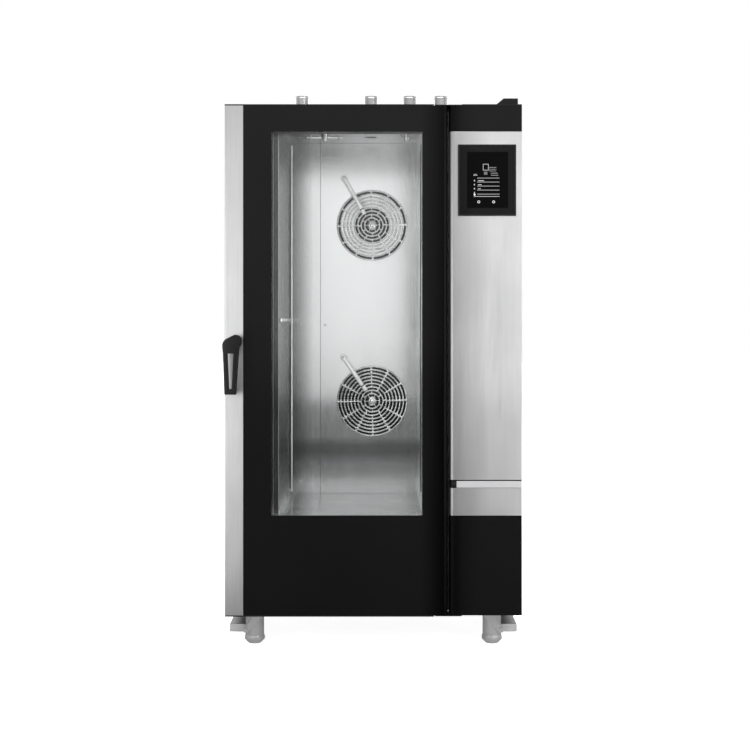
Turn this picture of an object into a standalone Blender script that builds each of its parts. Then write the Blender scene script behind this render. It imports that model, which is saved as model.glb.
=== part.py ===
"""Floor-standing combi steamer oven with a left-handled glass door and a control column on the right.

Metres, +Z up. The front faces -Y, and the origin is on the floor under the middle of the casing.
"""

import math

import bmesh
import bpy
from mathutils import Matrix, Vector

# Driving dimensions of the casing
HALF_WIDTH = 0.500
FRONT_Y = -0.418
CASE_FRONT_Y = -0.350
CASE_BACK_Y = 0.462
BODY_BOTTOM = 0.1255
BODY_TOP = 1.8405
PANEL_BOTTOM = 0.128
PANEL_TOP = 1.8415
SHEET = 0.002
GAP = 0.0003

# Cooking cavity, measured on its inner faces
CAVITY_LEFT = -0.3225
CAVITY_RIGHT = 0.1925
CAVITY_FLOOR = 0.450
CAVITY_CEILING = 1.801
CAVITY_BACK_Y = 0.339
BAFFLE_Y = 0.239
COVE_RADIUS = 0.025

# Door
DOOR_RIGHT = 0.2515
GLASS_THICKNESS = 0.005
EDGE_RADIUS = 0.014
HINGE_X = DOOR_RIGHT - EDGE_RADIUS
HINGE_Y = FRONT_Y + EDGE_RADIUS
STILE_RIGHT = -0.438
DOOR_BACK_Y = -0.358
WINDOW_LOW = (-0.3425, 0.461)
WINDOW_HIGH = (0.1645, 1.753)
HANDLE_X = -0.460
HANDLE_Z = 1.045
HANDLE_FRONT_Y = -0.480

# Control column
COLUMN_LEFT = 0.256
CONTROL_PLATE_Z = (0.5815, 1.753)
SEAM_Z = (0.5548, 0.5775)
LOWER_PLATE_Z = (0.4615, 0.554)
DISPLAY_LOW = (0.285, 1.469)
DISPLAY_HIGH = (0.480, 1.709)

# Fans, wash arms, pipes
FAN_X = -0.005
FAN_HEIGHTS = {"upper": 1.4846, "lower": 0.8063}
FAN_RADIUS = 0.140
SHAFT_RADIUS = 0.010
GRILLE_RADIUS = 0.1365
INJECTOR_STARTS = {"upper": (-0.1135, 1.667), "lower": (-0.1154, 0.975)}
INJECTOR_ENDS = {"upper": (-0.0325, 1.524), "lower": (-0.0275, 0.8474)}
WASH_ARMS = {"left": (-0.175, 0.0), "right": (0.122, 62.0)}
WASH_Y = -0.088
VENT_XS = {"1": -0.2655, "2": -0.0087, "3": 0.1352, "4": 0.2511}
VENT_Y = 0.072
VENT_RADIUS = 0.0245
VENT_TOP = 1.9527
DRAIN_X = -0.065
DRAIN_Y = 0.290
DRAIN_Z = 0.235
REAR_Y = 0.480
WATER_INLET = (0.330, 0.300)
CABLE_GLAND = (0.430, 0.300)

# Legs
LEG_X = 0.4115
LEG_YS = {"front": -0.271, "rear": 0.360}
LEG_RADIUS = 0.032
FOOT_RADIUS = 0.035

CLEAR = 0.1  # how far a cutter runs past the wall it cuts


def clear_scene():
    for item in list(bpy.data.objects):
        bpy.data.objects.remove(item)


def add_collection(name):
    collection = bpy.data.collections.new(name)
    bpy.context.scene.collection.children.link(collection)
    return collection


def add_material(name, colour, roughness, metallic):
    material = bpy.data.materials.new(name)
    material.use_nodes = True
    shader = material.node_tree.nodes["Principled BSDF"]
    shader.inputs["Base Color"].default_value = (*colour, 1.0)
    shader.inputs["Roughness"].default_value = roughness
    shader.inputs["Metallic"].default_value = metallic
    return material


clear_scene()
PARTS = add_collection("combi_steamer_oven")
CUTTERS = add_collection("cutters")
BRUSHED = add_material("brushed_steel", (0.62, 0.62, 0.63), 0.32, 1.0)
POLISHED = add_material("polished_steel", (0.75, 0.75, 0.76), 0.15, 1.0)
GALVANISED = add_material("galvanised_sheet", (0.48, 0.49, 0.50), 0.50, 1.0)
BLACK_GLASS = add_material("black_glass", (0.012, 0.012, 0.013), 0.06, 0.0)
CLEAR_GLASS = add_material("clear_glass", (0.80, 0.85, 0.84), 0.05, 0.0)
BLACK_PLASTIC = add_material("black_plastic", (0.020, 0.020, 0.021), 0.45, 0.0)
BLACK_STEEL = add_material("black_coated_steel", (0.025, 0.025, 0.026), 0.50, 0.3)
RUBBER = add_material("silicone_rubber", (0.030, 0.030, 0.032), 0.75, 0.0)
WOOL = add_material("mineral_wool", (0.62, 0.56, 0.38), 0.95, 0.0)
BOARD = add_material("circuit_board", (0.02, 0.16, 0.07), 0.55, 0.0)
CAST = add_material("motor_casting", (0.30, 0.31, 0.33), 0.55, 1.0)


def store(obj, material, helper):
    """Links an object as a sub-part, or as a hidden helper when it only cuts or joins."""
    (CUTTERS if helper else PARTS).objects.link(obj)
    if helper:
        obj.hide_render = True
        obj.display_type = "WIRE"
    else:
        obj.data.materials.append(material)
    return obj


def mesh_object(name, bm, location, material, helper=False, smooth=False):
    mesh = bpy.data.meshes.new(name)
    bm.to_mesh(mesh)
    bm.free()
    if smooth:
        mesh.shade_smooth()
        mesh.set_sharp_from_angle(angle=math.radians(35))
    obj = bpy.data.objects.new(name, mesh)
    obj.location = location
    return store(obj, material, helper)


def box(name, low, high, material=None, helper=False, bevel=0.0):
    low, high = Vector(low), Vector(high)
    bm = bmesh.new()
    bmesh.ops.create_cube(bm, size=1.0)
    bmesh.ops.scale(bm, vec=high - low, verts=bm.verts)
    obj = mesh_object(name, bm, (low + high) / 2, material, helper)
    if bevel:
        modifier = obj.modifiers.new("Rounded edges", "BEVEL")
        modifier.width = bevel
        modifier.segments = 2
    return obj


def rod(name, start, end, radius, material=None, helper=False, sides=24):
    """A solid cylinder between two points."""
    start, end = Vector(start), Vector(end)
    bm = bmesh.new()
    bmesh.ops.create_cone(
        bm,
        cap_ends=True,
        segments=sides,
        radius1=radius,
        radius2=radius,
        depth=(end - start).length,
    )
    turn = (end - start).to_track_quat("Z", "Y").to_matrix()
    bmesh.ops.rotate(bm, cent=(0, 0, 0), matrix=turn, verts=bm.verts)
    return mesh_object(name, bm, (start + end) / 2, material, helper, smooth=True)


def turned(name, profile, place, material, along="Z", closed=False, sides=24):
    """A profile of (radius, height) points, top to bottom on its outer side, turned about its axis.

    A closed profile makes a tube. Along Y, heights are measured towards +Y.
    """
    bm = bmesh.new()
    points = [bm.verts.new((radius, 0.0, height)) for radius, height in profile]
    ends = points[1:] + points[:1] if closed else points[1:]
    for first, second in zip(points, ends):
        bm.edges.new((first, second))
    obj = mesh_object(name, bm, place, material)
    if along == "Y":
        obj.rotation_euler = (math.radians(-90), 0, 0)
    screw = obj.modifiers.new("Turned shape", "SCREW")
    screw.axis = "Z"
    screw.angle = math.tau
    screw.steps = sides
    screw.render_steps = sides
    screw.use_merge_vertices = True
    screw.merge_threshold = 0.00005
    screw.use_smooth_shade = True
    return obj


def arc(centre, radius, start, end, steps):
    """Points on a circle from one angle to another, in degrees."""
    angles = [math.radians(start + (end - start) * i / steps) for i in range(steps + 1)]
    return [
        (centre[0] + radius * math.cos(a), centre[1] + radius * math.sin(a))
        for a in angles
    ]


def rounded_rectangle(low, high, radius, steps=4):
    corners = (
        (high[0] - radius, low[1] + radius, -90),
        (high[0] - radius, high[1] - radius, 0),
        (low[0] + radius, high[1] - radius, 90),
        (low[0] + radius, low[1] + radius, 180),
    )
    points = []
    for x, y, start in corners:
        points += arc((x, y), radius, start, start + 90, steps)
    return points


def as_mesh(obj):
    """Replaces a curve object with the welded mesh that it makes, so that it can be cut or joined."""
    bpy.context.view_layer.update()
    graph = bpy.context.evaluated_depsgraph_get()
    mesh = bpy.data.meshes.new_from_object(obj.evaluated_get(graph))
    bm = bmesh.new()
    bm.from_mesh(mesh)
    bmesh.ops.remove_doubles(bm, verts=bm.verts, dist=0.00002)
    bmesh.ops.recalc_face_normals(bm, faces=bm.faces)
    bm.to_mesh(mesh)
    bm.free()
    name = obj.name
    solid = bpy.data.objects.new(name, mesh)
    solid.matrix_world = obj.matrix_world.copy()
    collection = obj.users_collection[0]
    hidden = obj.hide_render
    bpy.data.objects.remove(obj)
    solid.name = name
    solid.hide_render = hidden
    collection.objects.link(solid)
    return solid


def outline(name, points, span, material=None, plane="XY", helper=False):
    """A flat outline in a plane, extruded over a span of the third axis, as a mesh object."""
    curve = bpy.data.curves.new(name, "CURVE")
    curve.dimensions = "2D"
    curve.fill_mode = "BOTH"
    curve.extrude = (span[1] - span[0]) / 2
    spline = curve.splines.new("POLY")
    spline.points.add(len(points) - 1)
    for point, (x, y) in zip(spline.points, points):
        point.co = (x, y, 0, 1)
    spline.use_cyclic_u = True
    obj = bpy.data.objects.new(name, curve)
    middle = (span[0] + span[1]) / 2
    if plane == "XY":
        obj.location = (0, 0, middle)
    elif plane == "XZ":
        obj.location = (0, middle, 0)
        obj.rotation_euler = (math.radians(90), 0, 0)
    else:
        obj.location = (middle, 0, 0)
        obj.rotation_euler = (math.radians(90), 0, math.radians(90))
    store(obj, material, helper)
    return as_mesh(obj)


def tube(name, points, radius, material, hollow=0.0, resolution=2):
    """A round tube along a list of points, solid or with a wall of the thickness given."""
    curve = bpy.data.curves.new(name, "CURVE")
    curve.dimensions = "3D"
    curve.bevel_depth = radius
    curve.bevel_resolution = resolution
    curve.use_fill_caps = not hollow
    spline = curve.splines.new("POLY")
    spline.points.add(len(points) - 1)
    for point, place in zip(spline.points, points):
        point.co = (*place, 1)
    obj = store(bpy.data.objects.new(name, curve), material, False)
    if not hollow:
        return obj
    obj = as_mesh(obj)
    wall = obj.modifiers.new("Tube wall", "SOLIDIFY")
    wall.thickness = hollow
    wall.offset = -1
    return obj


def boolean(target, other, operation):
    modifier = target.modifiers.new(other.name, "BOOLEAN")
    modifier.operation = operation
    modifier.solver = "EXACT"
    modifier.object = other
    return target


def cut(target, *others):
    for other in others:
        boolean(target, other, "DIFFERENCE")
    return target


def join(target, *others):
    for other in others:
        boolean(target, other, "UNION")
    return target


def pivot(name, location, parent=None):
    """An empty on a joint's axis, which carries the pieces that move there."""
    empty = bpy.data.objects.new(name, None)
    empty.location = location
    empty.empty_display_size = 0.05
    PARTS.objects.link(empty)
    if parent:
        carry(parent, empty)
    return empty


def carry(holder, *pieces):
    """Parents pieces to an empty without moving them."""
    bpy.context.view_layer.update()
    for piece in pieces:
        piece.parent = holder
        piece.matrix_parent_inverse = holder.matrix_world.inverted()


# Holes that several pieces share


def vent_cutters():
    return [
        rod(f"vent_hole_{name}", (x, VENT_Y, CAVITY_CEILING - 0.03), (x, VENT_Y, BODY_TOP + CLEAR),
            VENT_RADIUS + 0.0007, helper=True)
        for name, x in VENT_XS.items()
    ]


def shaft_cutters():
    return [
        rod(f"shaft_hole_{name}", (FAN_X, CAVITY_BACK_Y - 0.02, z), (FAN_X, CAVITY_BACK_Y + 0.06, z),
            SHAFT_RADIUS + 0.004, helper=True)
        for name, z in FAN_HEIGHTS.items()
    ]


def drain_cutter():
    return rod("drain_hole", (DRAIN_X, DRAIN_Y, CAVITY_FLOOR + 0.02), (DRAIN_X, DRAIN_Y, 0.38),
               VENT_RADIUS + 0.0008, helper=True)


# Casing


def build_casing(vents):
    inner = HALF_WIDTH - SHEET
    for side, low, high in (("left", -HALF_WIDTH, -inner), ("right", inner, HALF_WIDTH)):
        box(f"side_panel_{side}", (low, CASE_FRONT_Y, PANEL_BOTTOM), (high, CASE_BACK_Y, PANEL_TOP), BRUSHED)
    box(
        "base_plate",
        (-inner + GAP, CASE_FRONT_Y + SHEET + GAP, PANEL_BOTTOM),
        (inner - GAP, CASE_BACK_Y - SHEET - GAP, PANEL_BOTTOM + 0.003),
        GALVANISED,
    )
    back = box(
        "back_panel",
        (-inner + GAP, CASE_BACK_Y - SHEET, PANEL_BOTTOM),
        (inner - GAP, CASE_BACK_Y, PANEL_TOP),
        GALVANISED,
    )
    for name, x, z, radius in (
        ("drain_outlet_hole", DRAIN_X, DRAIN_Z, VENT_RADIUS + 0.001),
        ("water_inlet_hole", *WATER_INLET, 0.0135),
        ("cable_gland_hole", *CABLE_GLAND, 0.0155),
    ):
        cut(back, rod(name, (x, CASE_BACK_Y - 0.02, z), (x, CASE_BACK_Y + 0.02, z), radius, helper=True))
    top = box(
        "top_panel",
        (-HALF_WIDTH, CASE_FRONT_Y, PANEL_TOP + GAP),
        (HALF_WIDTH, CASE_BACK_Y, PANEL_TOP + GAP + 0.0022),
        BRUSHED,
    )
    cut(top, *vents)


def build_front_frame():
    """The face of the casing, with the rounded mouth that the door closes."""
    inner = HALF_WIDTH - SHEET - GAP
    frame = box(
        "front_frame",
        (-inner, CASE_FRONT_Y, PANEL_BOTTOM),
        (inner, CASE_FRONT_Y + SHEET, PANEL_TOP),
        BRUSHED,
    )
    mouth = outline(
        "cavity_mouth",
        rounded_rectangle((CAVITY_LEFT, CAVITY_FLOOR), (CAVITY_RIGHT, CAVITY_CEILING), COVE_RADIUS),
        (CASE_FRONT_Y - 0.05, CASE_FRONT_Y + 0.05),
        plane="XZ",
        helper=True,
    )
    cut(frame, mouth)


# Cavity and what is in it


def build_cavity_liner(vents, shafts, drain):
    """A five-walled shell, open at the front, with rounded corners that wash clean."""
    low = Vector((CAVITY_LEFT, CASE_FRONT_Y + SHEET + GAP, CAVITY_FLOOR))
    high = Vector((CAVITY_RIGHT, CAVITY_BACK_Y, CAVITY_CEILING))
    bm = bmesh.new()
    bmesh.ops.create_cube(bm, size=1.0)
    bmesh.ops.scale(bm, vec=high - low, verts=bm.verts)
    front = [face for face in bm.faces if face.normal.y < -0.5]
    bmesh.ops.delete(bm, geom=front, context="FACES_ONLY")
    inner_edges = [edge for edge in bm.edges if not edge.is_boundary]
    bmesh.ops.bevel(bm, geom=inner_edges, offset=COVE_RADIUS, segments=3, profile=0.5, affect="EDGES")
    liner = mesh_object("cavity_liner", bm, (low + high) / 2, BRUSHED)
    wall = liner.modifiers.new("Sheet", "SOLIDIFY")
    wall.thickness = SHEET
    wall.offset = 1
    cut(liner, *vents[:3], *shafts, drain)


def build_insulation(vents, shafts, drain):
    """Mineral wool round five sides of the liner."""
    wool = box(
        "insulation",
        (CAVITY_LEFT - 0.050, CASE_FRONT_Y + SHEET + 2 * GAP, CAVITY_FLOOR - 0.048),
        (CAVITY_RIGHT + 0.0325, CAVITY_BACK_Y + 0.044, PANEL_TOP - GAP),
        WOOL,
    )
    skin = SHEET + 2 * GAP
    hollow = box(
        "liner_space",
        (CAVITY_LEFT - skin, CASE_FRONT_Y - CLEAR, CAVITY_FLOOR - skin),
        (CAVITY_RIGHT + skin, CAVITY_BACK_Y + skin, CAVITY_CEILING + skin),
        helper=True,
    )
    cut(wool, hollow, *vents[:3], *shafts, drain)


def build_fan(name, height, grille_mesh):
    """One fan: motor, wheel on its shaft, heating ring and the slotted grille in front."""
    motor_front = CAVITY_BACK_Y + 0.0445
    turned(
        f"fan_motor_{name}",
        [
            (0.0, 0.070),
            (0.045, 0.070),
            (0.066, 0.060),
            (0.066, 0.006),
            (0.085, 0.006),
            (0.085, 0.0),
            (SHAFT_RADIUS + GAP, 0.0),
            (SHAFT_RADIUS + GAP, 0.016),
            (0.0, 0.016),
        ],
        (FAN_X, motor_front, height),
        CAST,
        along="Y",
    )
    build_fan_wheel(name, height, motor_front)
    build_heating_ring(name, height)
    grille = bpy.data.objects.new(f"fan_grille_{name}", grille_mesh)
    grille.location = (FAN_X, BAFFLE_Y - 0.0013, height)
    PARTS.objects.link(grille)


def build_fan_wheel(name, height, motor_front):
    """Twelve straight blades between a hub and a back disc, with the motor's shaft."""
    blades, hub, half_blade = 12, 0.030, 0.0015
    points = []
    for i in range(blades):
        angle = math.tau * i / blades
        for radius, side in ((hub, -1), (FAN_RADIUS, -1), (FAN_RADIUS, 1), (hub, 1)):
            turn = angle + side * half_blade / radius
            points.append((FAN_X + radius * math.cos(turn), height + radius * math.sin(turn)))
    wheel = outline(f"fan_wheel_{name}", points, (0.258, 0.318), POLISHED, plane="XZ")
    disc = rod(f"wheel_disc_{name}", (FAN_X, 0.3165, height), (FAN_X, 0.3195, height),
               FAN_RADIUS + 0.001, helper=True, sides=36)
    shaft = rod(f"wheel_shaft_{name}", (FAN_X, 0.300, height), (FAN_X, motor_front + 0.015, height),
                SHAFT_RADIUS, helper=True)
    join(wheel, disc, shaft)
    carry(pivot(f"fan_axis_{name}", (FAN_X, 0.290, height)), wheel)


def build_heating_ring(name, height):
    """A tubular heater round the fan wheel, with both ends on the back wall."""
    radius, middle_y, back_y = 0.168, 0.290, CAVITY_BACK_Y - GAP
    ring = [
        (x, middle_y, z) for x, z in arc((FAN_X, height), radius, -78, 258, 30)
    ]
    points = [(ring[0][0], back_y, ring[0][2]), *ring, (ring[-1][0], back_y, ring[-1][2])]
    tube(f"heating_ring_{name}", points, 0.005, POLISHED, resolution=1)


def make_grille_mesh():
    """A round plate with sixteen radial slots, shared by both fans."""
    plate = rod("grille_plate", (0, -0.001, 0), (0, 0.001, 0), GRILLE_RADIUS, helper=True, sides=40)
    bm = bmesh.new()
    slots = 16
    for i in range(slots):
        made = bmesh.ops.create_cube(bm, size=1.0)["verts"]
        bmesh.ops.scale(bm, vec=(0.085, 0.02, 0.010), verts=made)
        bmesh.ops.translate(bm, vec=(0.079, 0, 0), verts=made)
        bmesh.ops.rotate(bm, cent=(0, 0, 0), matrix=Matrix.Rotation(math.tau * i / slots, 3, "Y"), verts=made)
    cut(plate, mesh_object("grille_slots", bm, (0, 0, 0), None, helper=True))
    bpy.context.view_layer.update()
    graph = bpy.context.evaluated_depsgraph_get()
    mesh = bpy.data.meshes.new_from_object(plate.evaluated_get(graph))
    mesh.name = "fan_grille"
    mesh.materials.append(POLISHED)
    bpy.data.objects.remove(plate)
    bpy.data.objects.remove(bpy.data.objects["grille_slots"])
    return mesh


def build_baffle():
    """The sheet that parts the cooking space from the fans, with an air intake at each fan.

    The hot air comes back past its two upright edges, which stop short of the side walls.
    """
    edge, side_gap = 0.0005, 0.012
    baffle = outline(
        "fan_baffle",
        rounded_rectangle(
            (CAVITY_LEFT + side_gap, CAVITY_FLOOR + edge),
            (CAVITY_RIGHT - side_gap, CAVITY_CEILING - edge),
            COVE_RADIUS + 0.001,
        ),
        (BAFFLE_Y, BAFFLE_Y + SHEET),
        BRUSHED,
        plane="XZ",
    )
    for name, height in FAN_HEIGHTS.items():
        cut(baffle, rod(f"intake_{name}", (FAN_X, BAFFLE_Y - 0.02, height), (FAN_X, BAFFLE_Y + 0.02, height),
                        0.095, helper=True, sides=32))


def build_injectors():
    """Tubes that drop water on the hub of each fan, which throws it at the heater as steam."""
    for name, (x, z) in INJECTOR_STARTS.items():
        end_x, end_z = INJECTOR_ENDS[name]
        front = BAFFLE_Y - 0.019
        tube(
            f"water_injector_{name}",
            [(x, BAFFLE_Y - GAP, z), (x, front, z), (end_x, front, end_z)],
            0.008,
            POLISHED,
        )


def build_wash_arms():
    """Spray arms that hang from the ceiling and turn while the oven cleans itself."""
    for name, (x, turn) in WASH_ARMS.items():
        reach = Vector((math.cos(math.radians(turn)), math.sin(math.radians(turn)), 0)) * 0.0635
        middle = Vector((x, WASH_Y, 1.779))
        hub = rod(f"wash_arm_{name}", (x, WASH_Y, 1.770), (x, WASH_Y, CAVITY_CEILING - 0.0006), 0.013, POLISHED)
        join(hub, rod(f"spray_tube_{name}", middle - reach, middle + reach, 0.0045, helper=True, sides=12))
        carry(pivot(f"wash_axis_{name}", (x, WASH_Y, 1.779)), hub)


def build_bumper():
    box(
        "wall_bumper_left",
        (CAVITY_LEFT + GAP, -0.330, 1.113),
        (CAVITY_LEFT + 0.009, 0.200, 1.125),
        POLISHED,
        bevel=0.002,
    )


# Pipes and connections


def build_vents():
    for name, x in VENT_XS.items():
        bottom = CAVITY_CEILING if x < CAVITY_RIGHT else CAVITY_CEILING - 0.02
        bore = VENT_RADIUS - SHEET
        turned(
            f"vent_tube_{name}",
            [(VENT_RADIUS, VENT_TOP), (VENT_RADIUS, bottom), (bore, bottom), (bore, VENT_TOP)],
            (x, VENT_Y, 0),
            POLISHED,
            closed=True,
        )


def build_drain():
    """The drain falls from the cavity floor and leaves through the back panel."""
    bend = 0.05
    corner = arc((DRAIN_Y + bend, DRAIN_Z + bend), bend, 180, 270, 6)
    points = [(DRAIN_X, DRAIN_Y, CAVITY_FLOOR - 0.0005)]
    points += [(DRAIN_X, y, z) for y, z in corner]
    points.append((DRAIN_X, REAR_Y, DRAIN_Z))
    tube("drain_pipe", points, VENT_RADIUS, GALVANISED, hollow=SHEET, resolution=4)


def rear_fitting(name, place, thread, flange, bore, material):
    """A hollow stub through the back panel with a flange on its outer face."""
    x, z = place
    turned(
        name,
        [
            (bore, REAR_Y),
            (thread, REAR_Y),
            (thread, CASE_BACK_Y + 0.006),
            (flange, CASE_BACK_Y + 0.006),
            (flange, CASE_BACK_Y + GAP),
            (thread, CASE_BACK_Y + GAP),
            (thread, CASE_BACK_Y - 0.025),
            (bore, CASE_BACK_Y - 0.025),
        ],
        (x, 0, z),
        material,
        along="Y",
        closed=True,
    )


def build_control_board():
    """The power board on its spacers, fixed to the right side panel."""
    inner = HALF_WIDTH - SHEET - GAP
    board = box("control_board", (inner - 0.008, -0.250, 0.950), (inner - 0.006, 0.050, 1.350), BOARD)
    for i, (y, z) in enumerate(((-0.24, 0.96), (-0.24, 1.34), (0.04, 0.96), (0.04, 1.34))):
        join(board, rod(f"spacer_{i}", (inner - 0.007, y, z), (inner, y, z), 0.004, helper=True, sides=12))
    join(
        board,
        box("heat_sink", (inner - 0.045, -0.22, 1.20), (inner - 0.007, -0.08, 1.32), helper=True),
        box("contactor", (inner - 0.060, -0.05, 0.98), (inner - 0.007, 0.03, 1.10), helper=True),
    )


# Column


def column_section(thickness):
    """Section of a column front: flat, with its left edge rolled back towards the door."""
    centre = (COLUMN_LEFT + EDGE_RADIUS, HINGE_Y)
    outer = arc(centre, EDGE_RADIUS, -90, -180, 6)
    inner = arc(centre, EDGE_RADIUS - thickness, -180, -90, 6)
    return [(HALF_WIDTH, FRONT_Y), *outer, *inner, (HALF_WIDTH, FRONT_Y + thickness)]


def build_column():
    glass = column_section(GLASS_THICKNESS)
    steel = column_section(SHEET)
    outline("fascia_lower", glass, (BODY_BOTTOM, LOWER_PLATE_Z[0] - 0.0005), BLACK_GLASS)
    outline("fascia_upper", glass, (CONTROL_PLATE_Z[1] + 0.0008, BODY_TOP), BLACK_GLASS)
    outline("lower_plate", steel, LOWER_PLATE_Z, BRUSHED)
    plate = outline("control_plate", steel, CONTROL_PLATE_Z, BRUSHED)
    inset = 0.010
    cut(plate, box(
        "display_opening",
        (DISPLAY_LOW[0] + inset, FRONT_Y - 0.05, DISPLAY_LOW[1] + inset),
        (DISPLAY_HIGH[0] - inset, FRONT_Y + 0.05, DISPLAY_HIGH[1] - inset),
        helper=True,
    ))
    socket_right = 0.280
    box("seam_strip", (socket_right + GAP, FRONT_Y + 0.002, SEAM_Z[0]), (HALF_WIDTH, FRONT_Y + 0.004, SEAM_Z[1]),
        BRUSHED)
    box("probe_socket", (COLUMN_LEFT + 0.006, FRONT_Y, SEAM_Z[0]), (socket_right, FRONT_Y + 0.012, SEAM_Z[1]),
        BLACK_PLASTIC, bevel=0.0015)
    build_display(inset)
    build_column_channel()


def build_display(inset):
    """A glass-fronted touch display, clipped into the control plate."""
    face_back = FRONT_Y - GAP
    display = box(
        "touch_display",
        (DISPLAY_LOW[0], face_back - 0.003, DISPLAY_LOW[1]),
        (DISPLAY_HIGH[0], face_back, DISPLAY_HIGH[1]),
        BLACK_GLASS,
    )
    step = inset + 0.001
    join(display, box(
        "display_case",
        (DISPLAY_LOW[0] + step, face_back - 0.001, DISPLAY_LOW[1] + step),
        (DISPLAY_HIGH[0] - step, face_back + 0.024, DISPLAY_HIGH[1] - step),
        helper=True,
    ))


def build_column_channel():
    """The folded channel that the column fronts hang on, open to the front."""
    left, right = COLUMN_LEFT + GAP, HALF_WIDTH
    back = CASE_FRONT_Y - 0.0005
    points = [
        (right, back),
        (left, back),
        (left, HINGE_Y + GAP),
        (left + SHEET, HINGE_Y + GAP),
        (left + SHEET, back - SHEET),
        (right - SHEET, back - SHEET),
        (right - SHEET, FRONT_Y + GLASS_THICKNESS + GAP),
        (right, FRONT_Y + GLASS_THICKNESS + GAP),
    ]
    outline("column_channel", points, (BODY_BOTTOM, BODY_TOP), BLACK_STEEL)


def build_cowl():
    """The hood over the air intake, on the top right front corner and open to the rear."""
    bottom, top = PANEL_TOP + 0.0028, 1.865
    left, right = 0.4135, 0.4870
    slope, wall = 0.0255, 0.003
    front, back = FRONT_Y + 0.004, CASE_FRONT_Y + 0.060
    points = [(left, bottom), (right, bottom), (right, top), (left + slope, top)]
    cowl = outline("air_cowl", points, (front, back), BLACK_PLASTIC, plane="XZ")
    cut(cowl, box(
        "cowl_hollow",
        (left + slope + wall, front + wall, bottom + wall),
        (right - wall, back + 0.02, top - wall),
        helper=True,
    ))


# Door


def build_door_frame():
    """A folded frame round the window, open to the front, with the hinge tube down its right edge."""
    left, right = -HALF_WIDTH + SHEET + 0.0005, HINGE_X - 0.0005
    bottom, top = BODY_BOTTOM + SHEET, BODY_TOP - SHEET
    front = FRONT_Y + GLASS_THICKNESS + GAP
    wall = SHEET
    frame = box("door_frame", (left, front, bottom), (right, DOOR_BACK_Y, top), BLACK_STEEL)
    pocket = box(
        "door_pocket",
        (left + wall, front - 0.02, bottom + wall),
        (right - wall, DOOR_BACK_Y - wall, top - wall),
        helper=True,
    )
    window_wall = box(
        "window_wall",
        (WINDOW_LOW[0] - wall, front - 0.03, WINDOW_LOW[1] - wall),
        (WINDOW_HIGH[0] + wall, DOOR_BACK_Y + 0.01, WINDOW_HIGH[1] + wall),
        helper=True,
    )
    cut(pocket, window_wall)
    window = box(
        "window_opening",
        (WINDOW_LOW[0], front - 0.05, WINDOW_LOW[1]),
        (WINDOW_HIGH[0], DOOR_BACK_Y + 0.05, WINDOW_HIGH[1]),
        helper=True,
    )
    cut(frame, pocket)
    join(frame, rod("hinge_tube", (HINGE_X, HINGE_Y, bottom), (HINGE_X, HINGE_Y, top), 0.0085, helper=True))
    cut(frame, window, spindle_cutter("frame_spindle_hole", DOOR_BACK_Y))
    for name, low, high in (
        ("lower_pin_bore", bottom - 0.01, bottom + 0.026),
        ("upper_pin_bore", top - 0.026, top + 0.01),
    ):
        cut(frame, rod(name, (HINGE_X, HINGE_Y, low), (HINGE_X, HINGE_Y, high), 0.0053, helper=True))
    return frame


def spindle_cutter(name, y):
    return rod(name, (HANDLE_X, y - 0.01, HANDLE_Z), (HANDLE_X, y + 0.01, HANDLE_Z), 0.0068, helper=True)


def build_door_glass():
    """Outer sheet with its right edge rolled round the hinge line, and the inner pane."""
    centre = (HINGE_X, HINGE_Y)
    outer = arc(centre, EDGE_RADIUS, -90, 0, 6)
    inner = arc(centre, EDGE_RADIUS - GLASS_THICKNESS, 0, -90, 6)
    left = STILE_RIGHT + 0.0005
    section = [(left, FRONT_Y), *outer, *inner, (left, FRONT_Y + GLASS_THICKNESS)]
    sheet = outline("door_outer_glass", section, (BODY_BOTTOM, BODY_TOP), BLACK_GLASS)
    pane = box(
        "door_inner_glass",
        (-0.370, DOOR_BACK_Y + GAP, 0.420),
        (0.214, DOOR_BACK_Y + GAP + 0.004, 1.830),
        CLEAR_GLASS,
    )
    return sheet, pane


def build_door_stile():
    """The steel strip down the handle side, folded back round the door's edge."""
    left, right, back = -HALF_WIDTH, STILE_RIGHT, DOOR_BACK_Y + 0.002
    fold = 0.004
    outer = arc((left + fold, FRONT_Y + fold), fold, -90, -180, 3)
    inner = arc((left + fold, FRONT_Y + fold), fold - SHEET, -180, -90, 3)
    section = [
        (right, FRONT_Y),
        *outer,
        (left, back),
        (left + SHEET, back),
        *inner,
        (right, FRONT_Y + SHEET),
    ]
    stile = outline("door_stile", section, (BODY_BOTTOM, BODY_TOP), BRUSHED)
    return cut(stile, spindle_cutter("stile_spindle_hole", FRONT_Y))


def build_drip_tray():
    """A gutter under the inner pane that catches what runs down it."""
    back, front = DOOR_BACK_Y + GAP, DOOR_BACK_Y + 0.0065
    low, high, wall = 0.400, 0.415, 0.0012
    section = [
        (back, high),
        (back, low),
        (front, low),
        (front, low + 0.008),
        (front - wall, low + 0.008),
        (front - wall, low + wall),
        (back + wall, low + wall),
        (back + wall, high),
    ]
    return outline("door_drip_tray", section, (-0.370, 0.214), BRUSHED, plane="YZ")


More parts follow.
